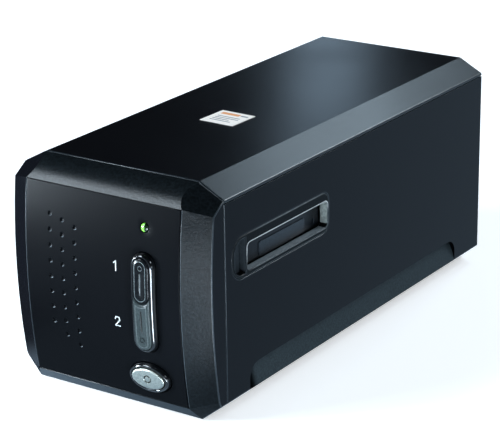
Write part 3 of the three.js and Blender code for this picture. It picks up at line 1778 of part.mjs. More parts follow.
function boardBracket() {
  const yRange = [bracketFront, bracketRear];
  const outer = block(around(0, bracketOuter), yRange, [chassisTop + fitGap, bracketTop]);
  const inner = block(
    around(0, bracketOuter - bracketThickness),
    [bracketFront - overrun, bracketRear + overrun],
    [0, bracketTop - bracketThickness],
  );
  const windowY = [bracketFront + bracketWindowInset, bracketRear - bracketWindowInset];
  const topWindow = block(
    around(0, bracketOuter - 2 * bracketWindowInset),
    windowY,
    [bracketTop - 2 * bracketThickness, bracketTop + overrun],
  );
  const sideWindow = block(
    around(0, caseWidth),
    windowY,
    [chassisTop + bracketWindowInset, bracketTop - bracketWindowInset],
  );
  return cut(outer, inner, topWindow, sideWindow);
}

function mainBoard() {
  const yRange = [mainBoardFront, mainBoardRear];
  const plate = block(around(0, mainBoardHalfWidth), yRange, [mainBoardBottom, mainBoardTop]);
  const chip = block(
    around(0, chipHalfSize),
    around((mainBoardFront + mainBoardRear) / 2, chipHalfSize),
    [mainBoardBottom + fitGap, mainBoardTop + chipThickness],
  );
  return join(plate, chip);
}

function connectorBottom() {
  return mainBoardTop + fitGap;
}

function connectorRange(depth) {
  const back = rearPanelFace - fitGap;
  return [back - depth, back];
}

function usbSocket() {
  const zRange = [connectorBottom(), connectorBottom() + connectorHeight];
  const [front, back] = connectorRange(usbDepth);
  const shell = block(around(-connectorFromCentre, usbWidth / 2), [front, back], zRange);
  const mouth = block(
    around(-connectorFromCentre, usbWidth / 2 - usbWall),
    [front + usbTongueHeight, back + overrun],
    [zRange[0] + usbWall, zRange[1] - usbWall],
  );
  const tongue = block(
    around(-connectorFromCentre, usbTongueWidth / 2),
    [front + usbWall, back - usbWall],
    around((zRange[0] + zRange[1]) / 2, usbTongueHeight / 2),
  );
  return join(cut(shell, mouth), tongue);
}

function powerJack() {
  const bottom = connectorBottom();
  const middle = bottom + connectorHeight / 2;
  const [front, back] = connectorRange(jackDepth);
  const across = around(connectorFromCentre, jackWidth / 2);
  const body = block(across, [front, back], [bottom, bottom + connectorHeight]);
  const at = [connectorFromCentre, middle];
  const bore = rodY(jackBoreRadius, [back - jackBoreDepth, back + overrun], at);
  const pinRange = [back - jackBoreDepth - fitGap, back - jackPinInset];
  const pin = rodY(jackPinRadius, pinRange, at, smallSideCount);
  return join(cut(body, bore), pin);
}

// A flat strip of flexible circuit: its middle line in Y and Z, drawn out across X.
function flexStrip(line, xRange) {
  const curve = new THREE.CatmullRomCurve3(line.map(([y, z]) => new THREE.Vector3(y, z, 0)));
  const stepCount = flexSpanStepCount * (line.length - 1);
  const points = curve.getPoints(stepCount);
  const side = (sign) =>
    points.map((point, i) => {
      const along = curve.getTangent(i / stepCount);
      const offset = (sign * flexThickness) / 2;
      return [point.x - along.y * offset, point.y + along.x * offset];
    });
  return prismX([...side(1), ...side(-1).reverse()], xRange);
}

// It runs from the sensor board, in a slack loop over the gear, up through the bracket's window.
function sensorFlex() {
  const start = scanHome + sensorBoardFace() + boardThickness + fitGap + flexThickness / 2;
  const windowRear = bracketRear - bracketWindowInset;
  const windowFront = bracketFront + bracketWindowInset;
  const end = windowFront + sensorFlexEndShare * (windowRear - windowFront);
  const top = mainBoardBottom - fitGap;
  const low = gearTop + sensorFlexRise;
  const third = (end - start) / 3;
  const line = [
    [start, sensorBoardTop - boardThickness],
    [start + boardThickness / 2, (sensorBoardTop + low) / 2],
    [start + third, low],
    [end - third, (low + top) / 2],
    [end, top],
  ];
  return flexStrip(line, around(0, sensorFlexHalfWidth));
}

function buttonFlex() {
  const start = buttonBoardFront + boardThickness + fitGap + flexThickness / 2;
  const high = caseHeight - buttonFlexDrop;
  const rear = bracketFront + mainBoardLead;
  const line = [
    [start, buttonBoardTop - buttonFlexBend],
    [start + buttonFlexLean, buttonBoardTop],
    [start + buttonFlexBend, high],
    [(start + rear) / 2, high],
    [rear - buttonFlexBend, high],
    [rear, high - buttonFlexBend],
    [rear, mainBoardTop + fitGap],
  ];
  return flexStrip(line, around(controlLine + buttonFlexFromControls, buttonFlexHalfWidth));
}

// Rear panel, screws, feet and label.

function rearPanel() {
  const outline = insetOutline(caseSection(), caseWall + fitGap);
  const plate = prismY(outline, [rearPanelBack, rearPanelFace]);
  const through = [rearPanelBack - overrun, rearPanelFace + overrun];
  const zRange = [connectorBottom() - fitGap, connectorBottom() + connectorHeight + fitGap];
  const usbHole = block(around(-connectorFromCentre, usbWidth / 2 + fitGap), through, zRange);
  const jackHole = block(around(connectorFromCentre, jackWidth / 2 + fitGap), through, zRange);
  const screwHoles = [-1, 1].map((side) =>
    rodY(screwRadius + fitGap, through, [side * rearScrewFromCentre, rearScrewHeight], smallSideCount),
  );
  return cut(plate, usbHole, jackHole, ...screwHoles);
}

function rearScrew() {
  const face = rearPanelFace + fitGap;
  const profile = [
    [0, face - screwLength],
    [screwRadius, face - screwLength],
    [screwRadius, face],
    [screwHeadRadius, face],
    [screwShoulderRadius, face + screwShoulderHeight],
    [screwFlatRadius, face + screwHeadHeight],
    [0, face + screwHeadHeight],
  ];
  const slotDepth = [face + screwHeadHeight / 2, face + screwHeadHeight + overrun];
  const slots = [
    block(around(0, screwHeadRadius / 2), slotDepth, around(0, screwSlotWidth / 2)),
    block(around(0, screwSlotWidth / 2), slotDepth, around(0, screwHeadRadius / 2)),
  ];
  return cut(turnedY(profile, smallSideCount), ...slots);
}

function placedScrew(name, side) {
  const screw = piece(name, rearScrew(), steel);
  screw.position.set(side * rearScrewFromCentre, 0, rearScrewHeight);
  return screw;
}

function foot(name, [x, y]) {
  const profile = [
    [0, 0],
    [footRadius - footEdge, 0],
    [footRadius, footEdge],
    [footRadius, footThickness],
    [0, footThickness],
  ];
  const pad = piece(name, turnedZ(profile), rubber);
  pad.position.set(x, y, 0);
  return pad;
}

function feet() {
  const names = ["foot_front_left", "foot_rear_left", "foot_front_right", "foot_rear_right"];
  return footPlaces().map((at, i) => foot(names[i], at));
}

function topLabel() {
  const plate = block(around(0, labelWidth / 2), around(0, labelDepth / 2), [0, labelThickness]);
  const label = piece("top_label", plate, paper);
  label.position.set(0, labelFromFront, caseHeight);
  label.rotation.z = THREE.MathUtils.degToRad(labelTurnDegrees);
  return label;
}

// The whole scanner.

function switches() {
  const { low, high, radius } = scanButtonRange();
  const upper = (scanButtonJoint + high) / 2;
  const lower = (low + scanButtonJoint + radius / 2) / 2 - radius / 2;
  return [
    piece("upper_switch", pushSwitch(upper), darkPlastic),
    piece("lower_switch", pushSwitch(lower), darkPlastic),
    piece("power_switch", pushSwitch(powerHeight), darkPlastic),
  ];
}

function lampPiece() {
  const lens = piece("status_light", statusLamp(), greenLens);
  lens.position.copy(facePoint(controlLine, lampHeight));
  lens.rotation.x = -Math.atan((lampHeight - faceApexHeight) / faceRadius);
  return lens;
}

const scanner = group(
  piece("top_cover", topCover(), blackCase),
  piece("case_base", caseBase(), blackCase),
  piece("front_bezel", frontBezel(), blackCase),
  piece("front_panel", frontPanel(), blackCase),
  piece("rear_panel", rearPanel(), blackCase),
  piece("button_surround", buttonSurround(), blackGloss),
  piece("upper_button", upperButton(), darkButton),
  piece("lower_button", lowerButton(), greyButton),
  piece("power_ring", powerRing(), blackGloss),
  piece("power_button", powerButton(), silver),
  lampPiece(),
  slotSide("right", (form) => form),
  slotSide("left", (form) => form.mirror([1, 0, 0])),
  piece("film_track", filmTrack(), darkPlastic),
  piece("detent_spring", detentSpring(), steel),
  piece("chassis_plate", chassis(), sheetSteel),
  piece("guide_rod_left", guideRod(-1), steel),
  piece("guide_rod_right", guideRod(1), steel),
  carriageAssembly(),
  driveAssembly(),
  piece("board_bracket", boardBracket(), sheetSteel),
  piece("main_board", mainBoard(), boardGreen),
  piece("usb_socket", usbSocket(), sheetSteel),
  piece("power_jack", powerJack(), darkPlastic),
  piece("sensor_flex", sensorFlex(), flexAmber),
  piece("button_flex", buttonFlex(), flexAmber),
  piece("button_board", buttonBoard(), boardGreen),
  ...switches(),
  placedScrew("rear_screw_left", -1),
  placedScrew("rear_screw_right", 1),
  ...feet(),
  topLabel(),
);
scanner.position.y = -overallMiddle;

export default scanner;
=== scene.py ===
"""Looks for a desk-top film scanner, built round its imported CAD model.

Lengths are millimetres in the part's own layout: X across the case, Y from the front panel to the rear,
Z up. `placed` turns them into metres in the frame's layout.
"""
import json
import math

import bmesh
import bpy
from mathutils import Euler, Matrix, Vector
from mathutils.geometry import delaunay_2d_cdt

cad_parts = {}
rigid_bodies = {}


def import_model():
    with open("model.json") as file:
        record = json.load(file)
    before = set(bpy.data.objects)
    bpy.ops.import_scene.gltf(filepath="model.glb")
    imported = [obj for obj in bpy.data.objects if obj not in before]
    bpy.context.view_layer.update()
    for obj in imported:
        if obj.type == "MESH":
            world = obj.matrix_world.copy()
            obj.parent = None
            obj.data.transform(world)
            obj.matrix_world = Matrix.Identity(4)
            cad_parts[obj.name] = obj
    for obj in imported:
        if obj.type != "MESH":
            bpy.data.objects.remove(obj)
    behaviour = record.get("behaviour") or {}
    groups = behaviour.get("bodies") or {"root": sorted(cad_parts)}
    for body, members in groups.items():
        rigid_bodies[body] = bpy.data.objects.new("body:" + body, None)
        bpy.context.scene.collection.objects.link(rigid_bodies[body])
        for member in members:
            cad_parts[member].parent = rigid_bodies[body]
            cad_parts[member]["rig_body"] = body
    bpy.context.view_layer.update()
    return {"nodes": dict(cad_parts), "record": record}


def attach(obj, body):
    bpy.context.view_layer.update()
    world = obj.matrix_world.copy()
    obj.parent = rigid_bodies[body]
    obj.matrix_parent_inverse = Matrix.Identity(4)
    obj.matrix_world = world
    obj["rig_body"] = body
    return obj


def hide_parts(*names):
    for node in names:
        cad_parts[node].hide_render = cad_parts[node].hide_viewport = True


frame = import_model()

# A millimetre in metres, and where the frame's origin lies along the layout's Y.
MM = 0.001
MIDDLE = 137.3

# The front's side view is one arc.
FACE_RADIUS = 330
FACE_APEX = 66

# Front panel.
PANEL_HALF_WIDTH = 46.2
PANEL_BOTTOM = 8
PANEL_TOP = 110.2
PANEL_THICKNESS = 2.5
PANEL_EDGE = 0.35
PANEL_EDGE_RING = 0.12
PANEL_GRID = 3.5
PANEL_GRID_INSET = 1.2
PANEL_POST_HEIGHTS = (33, 100.8)
PANEL_POST_SPREAD = 11.3
PANEL_POST_RADIUS = 2.4
HOLE_EDGE = 0.3
HOLE_MARGIN = 1
SURROUND_HOLE_SIDES = 20
POWER_HOLE_SIDES = 56
LAMP_HOLE_SIDES = 28
FIT = 0.3
ROOT = 0.2

# Dimples: distance of each column from the middle, highest row, row spacing, row count.
DIMPLE_COLUMNS = [(-31.5, 95.1, 8.05, 8), (-24, 93.1, 7.57, 9), (-16.3, 90.6, 7.78, 9)]
DIMPLE_RADIUS = 1.3
DIMPLE_PROFILE = [(1, 0), (0.93, 0.07), (0.8, 0.4), (0.5, 0.58), (0.25, 0.62)]
DIMPLE_SIDES = 16
DIMPLE_MARGIN = 0.6

# The part of a dimple's wall with a painted glint: shares of the radius, and turns in degrees.
GLINT_SHARE = (0.72, 0.98)
GLINT_TURN = (-100, -15)

# Controls on one centre line.
CONTROL_LINE = 25.8
SURROUND_BOTTOM = 34.5
SURROUND_TOP = 86
SURROUND_HALF_WIDTH = 6.7
SURROUND_SIDES = 28
SCAN_BOTTOM = 36.5
SCAN_TOP = 84
SCAN_RADIUS = 4.7
SCAN_JOINT = 60.8
SCAN_PROUD = 3.9
SCAN_EDGE_HIGHLIGHT = (1.35, 1.75)
SCAN_EDGE_HIGHLIGHT_SINK = -0.03
BUTTON_EDGE_WIDTH = 1.3
BUTTON_EDGE_DEPTH = 0.8
BUTTON_EDGE_STEPS = 6
GROOVE_HALF_WIDTH = 0.5
GROOVE_DEPTH = 0.3
GROOVE_STEPS = ((0, 0), (0.08, 0.15), (0.18, 0.75), (0.26, 1), (0.3, 1))
SCAN_RING = (1.15, 0.34, 0.25)
POWER_MARK = (1.8, 0.42, 0.3)
RING_STEPS = 4
RING_FLOOR = 0.6
RING_SIDES = 28
POWER_HEIGHT = 20.5
POWER_HALF = (12.1, 7.9)
POWER_PROUD = 3.4
POWER_INSET = 2.5
POWER_RING_SIDES = 72
LAMP_HEIGHT = 98.2
LAMP_RADIUS = 2.2
LAMP_SIDES = 40
FLANGE_FRONT = 2.8
FLANGE_BACK = 4.0
BOARD_FRONT = 14.7

# Behind each button: the tab that holds it, and its plunger.
SKIRT_ROOT = 0.3
TAB_HALF_WIDTH = 6.2
TAB_HALF_HEIGHT = 4
TAB_THICKNESS = 1
PLUNGER_RADIUS = 2
PLUNGER_BACK = 9.55

# Slots for the film holder in both sides, and the flap behind each.
CASE_SIDE = 60
MOUTH_Y = (37.5, 111.2)
MOUTH_Z = (71.3, 85.6)
MOUTH_RADIUS = 2.5
DISH_FRONT = 25
DISH_FLOOR = 55.5
DISH_BELOW = 2
DISH_ABOVE = 4
LIP_FRONT = 34
LIP_SQUARE = 0.9
BEAD_RADIUS = 0.3
BEAD_SIDES = 10
BEAD_SINK = 0.12
FLAP_Y = (38.3, 110.4)
FLAP_LOW = 72
FLAP_FACE = 54.8
FLAP_THICKNESS = 2
FLAP_RADIUS = 1
FLAP_EDGE = 0.3
BARREL_HEIGHT = 88.2
BARREL_RADIUS = 2
BARREL_LEAD = 16
BARREL_SIDES = 24
PAD_Y = (54.8, 96.5)
PAD_Z = (72.2, 80)
PAD_RADIUS = 1.6
PAD_PROUD = 0.5
PAD_EDGE = 0.3
RIDGE_Y = (105.2, 105.9)
RIDGE_Z = (73.5, 77)
RIDGE_RADIUS = 0.3
RIDGE_EDGE = 0.2

# How the bead tapers: share of the way up the mouth's rear end, and thickness. In front they are the same.
BEAD_REAR_TAPER = ((0.4, 0.14), (0.6, 0.26), (0.8, 0.38))
BEAD_FRONT_TAPER = (0.85, 0.7, 0.5, 0.3, 0.1)

# Grip along the foot of each side.
GRIP_Y = (38.5, 250)
GRIP_BOTTOM = 3
GRIP_TOP = 21.6
GRIP_DEPTH = 4.5
GRIP_MARGIN = 3
GRIP_LIP = 1
GRIP_END = 7

# The bezel's rolled top edge, with its painted highlight, and its foot, with its painted reflection: how
# deep each reaches, and how far its faces slope.
ROLL_DEPTH = 30
ROLL_HIGHLIGHT_DEPTH = 20
ROLL_SLOPE = 0.12
ROLL_END = 0.999
FOOT_DEPTH = 10
FOOT_INSET = 2
FOOT_SLOPE = 0.25

# Label on the top. Its parts: their reach along X, Y and Z, from the label's middle, and their finish.
LABEL_MIDDLE = (0, 110.1, 120)
LABEL_TURN = -2
PRINT_Z = (0.15, 0.28)
LABEL_PARTS = [
    ((-10.5, 10.5), (-10.1, 10.1), (0, 0.25), "paper"),
    ((-8, 3.4), (4.6, 7.6), PRINT_Z, "print_orange"),
    ((4.2, 8.6), (5.3, 6.9), PRINT_Z, "print_grey"),
    ((-7.2, 6.8), (0.9, 1.8), PRINT_Z, "print_grey"),
    ((-7.2, 7.4), (-1.5, -0.6), PRINT_Z, "print_grey"),
    ((-7.2, 3.1), (-3.9, -3.0), PRINT_Z, "print_grey"),
    ((-7.2, 5.6), (-6.3, -5.4), PRINT_Z, "print_grey"),
]

# Digits beside the scan buttons: their strokes, from a digit's middle.
STROKE = 0.55
DIGIT_PROUD = 0.06
DIGIT_ROOT = 0.05
DIGIT_COLUMN = 8.5
UPPER_DIGIT_HEIGHT = 76
LOWER_DIGIT_HEIGHT = 47
DIGITS = {
    "1": [(-0.9, 1.5), (0.3, 2.4), (0.3, -2.4)],
    "2": [
        (-1.35, 1.35), (-0.9, 2.15), (0, 2.4), (0.95, 2.1), (1.3, 1.2), (0.9, 0.2), (-1.4, -2.35),
        (1.45, -2.35),
    ],
}

# How the CAD's facets are read: angles of smooth, sharp and creased edges, and face widths.
SMOOTH_ANGLE = math.radians(32)
SHARP_ANGLE = math.radians(46)
CREASE_ANGLE = math.radians(5)
FLAT_ANGLE = math.radians(0.3)
BROAD_FACE = 2.2
FLAT_WALL = 8
BEVEL_SEGMENTS = 3
MERGE_DISTANCE = 0.002
JOIN_DISTANCE = 0.00001
PAINT_MARGIN = 0.1

# Shares of a face's normal along an axis, from a face square to it to one that hardly turns to it.
SQUARE = 0.95
FACING = 0.5
LEANING = 0.3
SLOPING = 0.2
UNTURNED = 0.1


def placed(x, y, z):
    return Vector((x * MM, (y - MIDDLE) * MM, z * MM))


def face_depth(height):
    """How far the curved front lies behind its foremost line."""
    return (height - FACE_APEX) ** 2 / (2 * FACE_RADIUS)


def srgb(text):
    """A linear colour from six hexadecimal digits."""
    channels = [int(text[i : i + 2], 16) / 255 for i in (0, 2, 4)]
    return [c / 12.92 if c <= 0.04045 else ((c + 0.055) / 1.055) ** 2.4 for c in channels] + [1]


# Materials.

# The scale of the slow drift in moulded plastic, and the strength of its grain.
DRIFT_SCALE = 14
GRAIN_STRENGTH = 0.6

# Where the status lens goes from lit to its painted shade.
LIT_EDGE_SHIFT = 0.1
LIT_EDGE_WIDTH = 0.7


class Recipe:
    """A material under construction: a Principled shader and the nodes that feed it."""

    def __init__(self, name):
        self.material = bpy.data.materials.new(name)
        self.material.use_nodes = True
        self.tree = self.material.node_tree
        self.shader = self.tree.nodes["Principled BSDF"]
        self.place = self.add("ShaderNodeTexCoord").outputs["Object"]

    def add(self, kind, inputs=None, **settings):
        node = self.tree.nodes.new(kind)
        for key, value in settings.items():
            setattr(node, key, value)
        for key, value in (inputs or {}).items():
            self.feed(node.inputs[key], value)
        return node

    def feed(self, socket, value):
        if isinstance(value, bpy.types.NodeSocket):
            self.tree.links.new(value, socket)
        else:
            socket.default_value = value

    def set(self, **inputs):
        for key, value in inputs.items():
            self.feed(self.shader.inputs[key.replace("_", " ")], value)

    def noise(self, scale, detail=2.0, roughness=0.5, stretch=None):
        place = self.place
        if stretch:
            place = self.add("ShaderNodeMapping", {"Vector": place, "Scale": stretch}).outputs["Vector"]
        inputs = {"Vector": place, "Scale": scale, "Detail": detail, "Roughness": roughness}
        return self.add("ShaderNodeTexNoise", inputs).outputs["Fac"]

    def ranged(self, value, to_low, to_high, low=0.25, high=0.75):
        inputs = {"Value": value, "From Min": low, "From Max": high, "To Min": to_low, "To Max": to_high}
        return self.add("ShaderNodeMapRange", inputs, interpolation_type="SMOOTHERSTEP").outputs["Result"]

    def combined(self, operation, first, second, **settings):
        node = self.add("ShaderNodeMath", {0: first, 1: second}, operation=operation, **settings)
        return node.outputs[0]

    def mixed(self, factor, first, second):
        # The node's inputs 6 and 7 and its output 2 are the ones for colours.
        node = self.add("ShaderNodeMix", data_type="RGBA")
        self.feed(node.inputs["Factor"], factor)
        self.feed(node.inputs[6], first)
        self.feed(node.inputs[7], second)
        return node.outputs[2]

    def bump(self, height, strength, distance):
        inputs = {"Height": height, "Strength": strength, "Distance": distance}
        self.set(Normal=self.add("ShaderNodeBump", inputs).outputs["Normal"])


def moulded(name, dark, pale, roughness, grain, depth, specular=0.5):
    """Moulded plastic with a fine spark-eroded grain and a slow drift of gloss."""
    recipe = Recipe(name)
    fine = recipe.noise(grain, 3)
    slow = recipe.noise(DRIFT_SCALE, 1)
    speckle = recipe.ranged(fine, 0, 1)
    recipe.set(Base_Color=recipe.mixed(speckle, srgb(dark), srgb(pale)))
    recipe.set(Roughness=recipe.ranged(slow, roughness[0], roughness[1]))
    recipe.set(Specular_IOR_Level=specular)
    recipe.bump(fine, GRAIN_STRENGTH, depth)
    return recipe.material


def glossy(name, colour, roughness, coat=0.0):
    """Polished plastic with faint ripples and fine hairline marks."""
    recipe = Recipe(name)
    ripple = recipe.noise(160, 1)
    marks = recipe.noise(900, 2, stretch=(1, 1, 0.15))
    recipe.set(Base_Color=recipe.mixed(recipe.ranged(marks, 0, 1), srgb(colour[0]), srgb(colour[1])))
    recipe.set(Roughness=recipe.ranged(marks, roughness, roughness * 1.6))
    recipe.set(Coat_Weight=coat, Coat_Roughness=0.05)
    recipe.bump(ripple, 0.15, 0.0001)
    return recipe.material


def metal(name, dark, pale, roughness, stretch, grain=700):
    """Metal with a drawn or ground grain along one direction."""
    recipe = Recipe(name)
    lines = recipe.noise(grain, 3, 0.6, stretch)
    recipe.set(Metallic=1.0)
    recipe.set(Base_Color=recipe.mixed(recipe.ranged(lines, 0, 1), srgb(dark), srgb(pale)))
    recipe.set(Roughness=recipe.ranged(lines, roughness, roughness * 1.5))
    recipe.bump(lines, 0.2, 0.00005)
    return recipe.material


def graded(name, spans, dark, pale, roughness, specular, grain=1200, depth=0.00004):
    """Moulded plastic that goes from a dark colour and sheen to paler ones where all its spans do. Each use
    paints shade at the dark end and light at the pale end.
    """
    recipe = Recipe(name)
    place = recipe.add("ShaderNodeSeparateXYZ", {"Vector": recipe.place})
    share = recipe.ranged(place.outputs[spans[0][0]], 0, 1, *spans[0][1:])
    for axis, low, high in spans[1:]:
        other = recipe.ranged(place.outputs[axis], 0, 1, low, high)
        share = recipe.combined("MULTIPLY", share, other)
    fine = recipe.noise(grain, 3)
    speckle = recipe.ranged(fine, 0, 1)
    low = recipe.mixed(speckle, srgb(dark[0]), srgb(dark[1]))
    high = recipe.mixed(speckle, srgb(pale[0]), srgb(pale[1]))
    recipe.set(Base_Color=recipe.mixed(share, low, high))
    recipe.set(Roughness=recipe.ranged(recipe.noise(DRIFT_SCALE, 1), *roughness))
    recipe.set(Specular_IOR_Level=recipe.ranged(share, *specular, 0, 1))
    recipe.bump(fine, GRAIN_STRENGTH, depth)
    return recipe.material


def status_lens(name):
    """A clear green lens, lit on one side, with painted shade on the other."""
    recipe = Recipe(name)
    across = recipe.add("ShaderNodeSeparateXYZ", {"Vector": recipe.place}).outputs["X"]
    lit_edge = (CONTROL_LINE - LIT_EDGE_SHIFT) * MM
    dark = recipe.ranged(across, 0, 1, lit_edge, lit_edge + LIT_EDGE_WIDTH * MM)
    cloud = recipe.ranged(recipe.noise(700, 2), 0, 1)
    green = recipe.mixed(cloud, srgb("4f9c2c"), srgb("7cc04a"))
    recipe.set(Base_Color=recipe.mixed(dark, green, srgb("0b1a0b")))
    recipe.set(Emission_Color=recipe.mixed(dark, green, srgb("000000")))
    recipe.set(Emission_Strength=0.12, Roughness=0.2, Coat_Weight=0.1)
    return recipe.material


def glass(name, colour, roughness):
    recipe = Recipe(name)
    haze = recipe.noise(120, 2)
    recipe.set(Base_Color=srgb(colour), Transmission_Weight=1.0)
    recipe.set(Roughness=recipe.ranged(haze, roughness, roughness * 2 + 0.01))
    return recipe.material


def circuit(name):
    """Solder mask over copper tracks, which show as paler lines."""
    recipe = Recipe(name)
    tracks = recipe.add("ShaderNodeTexBrick", {"Vector": recipe.place, "Scale": 260.0})
    recipe.feed(tracks.inputs["Color1"], srgb("1c5a33"))
    recipe.feed(tracks.inputs["Color2"], srgb("17492a"))
    recipe.feed(tracks.inputs["Mortar"], srgb("2f7a48"))
    cloud = recipe.ranged(recipe.noise(60, 2), 0, 1)
    recipe.set(Base_Color=recipe.mixed(cloud, tracks.outputs["Color"], srgb("1d5030")))
    recipe.set(Roughness=recipe.ranged(cloud, 0.35, 0.5))
    recipe.bump(tracks.outputs["Fac"], 0.3, 0.00005)
    return recipe.material


# Spans of the graded finishes, which paint shade at their dark ends and light at their pale ends: an axis,
# and where along it the dark and the pale end lie, in metres.
ROLL_PAINTED_HIGHLIGHT_SPANS = [("Z", 0.1175, 0.111)]
RIM_PAINTED_HIGHLIGHT_SPANS = [("Y", -0.1, -0.088)]
DISH_PAINTED_SHADE_SPANS = [("Y", -0.1035, -0.111)]
GRIP_PAINTED_SHADOW_SPANS = [("Z", 0.0214, 0.0192), ("Y", -0.0973, -0.0895)]
PAD_PAINTED_LIGHT_SPANS = [("Z", 0.071, 0.081)]

# Each finish: the function that makes it, and what it takes after the finish's name.
RECIPES = {
    "case_black": (moulded, "040508", "08090d", (0.22, 0.26), 1600, 0.00003, 0.055),
    # The panel's left edge rounding, dull and low in sheen so that it stays dark: painted shade.
    "panel_side": (moulded, "0c0e10", "14171a", (0.6, 0.7), 1600, 0.00004, 0.02),
    "panel_black": (moulded, "040507", "07080a", (0.28, 0.28), 1600, 0.00004, 0.035),
    # Paler colour on the case's rounded edges: a painted highlight.
    "case_rim": (moulded, "1b2125", "262d32", (0.22, 0.26), 1600, 0.00002, 0.35),
    "bezel_black": (moulded, "05080a", "0f1417", (0.34, 0.38), 800, 0.00018, 0.1),
    # A dull dark facet low on the bezel's left: painted shade.
    "bezel_shade": (moulded, "0a0d0f", "101416", (0.5, 0.6), 1400, 0.00006, 0.01),
    # The bezel's rolled top edge, paler and glossier towards the panel: a painted highlight.
    "bezel_roll": (
        graded, ROLL_PAINTED_HIGHLIGHT_SPANS, ("05080a", "0f1417"), ("0a0f12", "171d21"), (0.34, 0.38), (0.1, 0.32), 800,
        0.00018,
    ),
    # Paler colour on the bezel's rounded edges: a painted highlight.
    "bezel_rim": (moulded, "1d2327", "2b3237", (0.3, 0.34), 1400, 0.00003, 0.35),
    "slot_black": (moulded, "050708", "0e1112", (0.36, 0.42), 1000, 0.00008, 0.04),
    # Pale walls and sill inside a slot's mouth: painted reflection and painted light.
    "slot_wall": (moulded, "7f8785", "aeb6b2", (0.34, 0.4), 900, 0.0001, 0.6),
    "slot_sill": (moulded, "6e767c", "959da3", (0.3, 0.36), 900, 0.00006, 0.8),
    # Rounded edges of a slot frame: a painted highlight that fades to dark towards the slot's front.
    "slot_rim": (graded, RIM_PAINTED_HIGHLIGHT_SPANS, ("0a0c0e", "0d1012"), ("3b4245", "525a5d"), (0.3, 0.36), (0.3, 0.3)),
    # The hollow before a slot's mouth: lifted by painted light, and darker by the lip as painted shade.
    "slot_dish": (graded, DISH_PAINTED_SHADE_SPANS, ("2c3136", "373d42"), ("363c41", "454b50"), (0.36, 0.42), (0.06, 0.1)),
    # Near-white bead over a slot's mouth: a painted highlight.
    "slot_bead": (moulded, "a2a7a8", "cacece", (0.2, 0.25), 1200, 0.00002, 0.8),
    # Floor of a grip: paler as painted light, with painted shadow under the ledge and at the front end.
    "grip_grey": (graded, GRIP_PAINTED_SHADOW_SPANS, ("040506", "07090a"), ("262e31", "363f43"), (0.38, 0.44), (0, 0.08)),
    # Paler foot under the panel: painted reflection of the floor.
    "bezel_foot": (moulded, "1c2328", "282f35", (0.34, 0.38), 1400, 0.00006, 0.2),
    "flap_black": (moulded, "07090d", "0d1015", (0.3, 0.34), 1500, 0.00003, 0.12),
    # Pad and ridge on a flap, paler towards the top: painted light.
    "flap_pad": (graded, PAD_PAINTED_LIGHT_SPANS, ("0a0c10", "10141a"), ("1f252b", "30383f"), (0.3, 0.34), (0.16, 0.16)),
    "gloss_black": (glossy, ("040506", "08090b"), 0.09, 0.3),
    "dark_button": (moulded, "050608", "0b0d0f", (0.18, 0.22), 1300, 0.00002, 0.1),
    "grey_button": (moulded, "1e2425", "2b3233", (0.24, 0.3), 1300, 0.00002, 0.12),
    # Fine pale line round a scan button's face: a painted highlight.
    "button_line": (moulded, "343a3b", "474e4f", (0.24, 0.3), 1300, 0.00002, 0.3),
    # Floor of the upper scan button's marks: the ring mark's own paler colour, and a painted highlight along
    # the groove.
    "button_mark": (moulded, "383e40", "4c5254", (0.36, 0.42), 1300, 0.00002, 0.2),
    "dark_mark": (moulded, "07090a", "0e1012", (0.25, 0.3), 1300, 0.00002, 0.05),
    # Paler lower right of each dimple's wall: a painted glint.
    "dimple_lip": (moulded, "454d52", "5c656a", (0.3, 0.34), 1500, 0.00002, 0.4),
    "silver_paint": (metal, "8a8e88", "a8aca4", 0.34, (1, 1, 1), 1500),
    "green_lens": (status_lens,),
    "dark_plastic": (moulded, "15171a", "24272a", (0.45, 0.55), 1100, 0.0001, 0.4),
    "white_plastic": (moulded, "dcdedb", "eceeec", (0.4, 0.5), 900, 0.00006),
    "rubber": (moulded, "0b0b0b", "171717", (0.8, 0.9), 900, 0.00015, 0.3),
    "steel": (metal, "a0a4a8", "c4c8cc", 0.22, (1, 0.1, 1)),
    "sheet_steel": (metal, "8a8f92", "a9aeb1", 0.36, (1, 1, 1), 180),
    "board_green": (circuit,),
    "brass": (metal, "9a7a3a", "c09c55", 0.28, (1, 0.1, 1)),
    "nylon": (moulded, "cfc9b8", "dfdacb", (0.4, 0.5), 800, 0.00006),
    "optical_glass": (glass, "d4e2ee", 0.02),
    "mirror": (metal, "e4e6e8", "f0f2f4", 0.02, (1, 1, 1)),
    "paper": (moulded, "fff2e8", "fff8f0", (0.55, 0.65), 1600, 0.00003, 0.4),
    "flex_amber": (glossy, ("8a5a18", "a06c24"), 0.3),
    "print_white": (moulded, "8f9595", "a9aeae", (0.5, 0.6), 1500, 0.00002),
    "print_orange": (moulded, "e7955b", "f0a974", (0.5, 0.6), 1500, 0.00002),
    "print_grey": (moulded, "7e8084", "9a9ca0", (0.5, 0.6), 1500, 0.00002),
}
FINISHES = {name: make(name, *choice) for name, (make, *choice) in RECIPES.items()}


# Meshes.


def piece_from(name, bm, slot, node=None, finishes=()):
    """Turns a bmesh into a piece that replaces a CAD node, or that adds to the case."""
    bmesh.ops.recalc_face_normals(bm, faces=bm.faces)
    mesh = bpy.data.meshes.new(name)
    bm.to_mesh(mesh)
    bm.free()
    return settle(bpy.data.objects.new(name, mesh), slot, node, finishes)


def settle(piece, slot, node, finishes):
    """Links, shades and finishes a piece, which rides on its node's body, or else on the case."""
    bpy.context.scene.collection.objects.link(piece)
    mesh = piece.data
    mesh.shade_smooth()
    mesh.set_sharp_from_angle(angle=SMOOTH_ANGLE)
    for finish in finishes or [slot]:
        mesh.materials.append(FINISHES[finish])
    body = "case"
    if node:
        body = frame["nodes"][node]["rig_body"]
        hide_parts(node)
    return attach(piece, body)


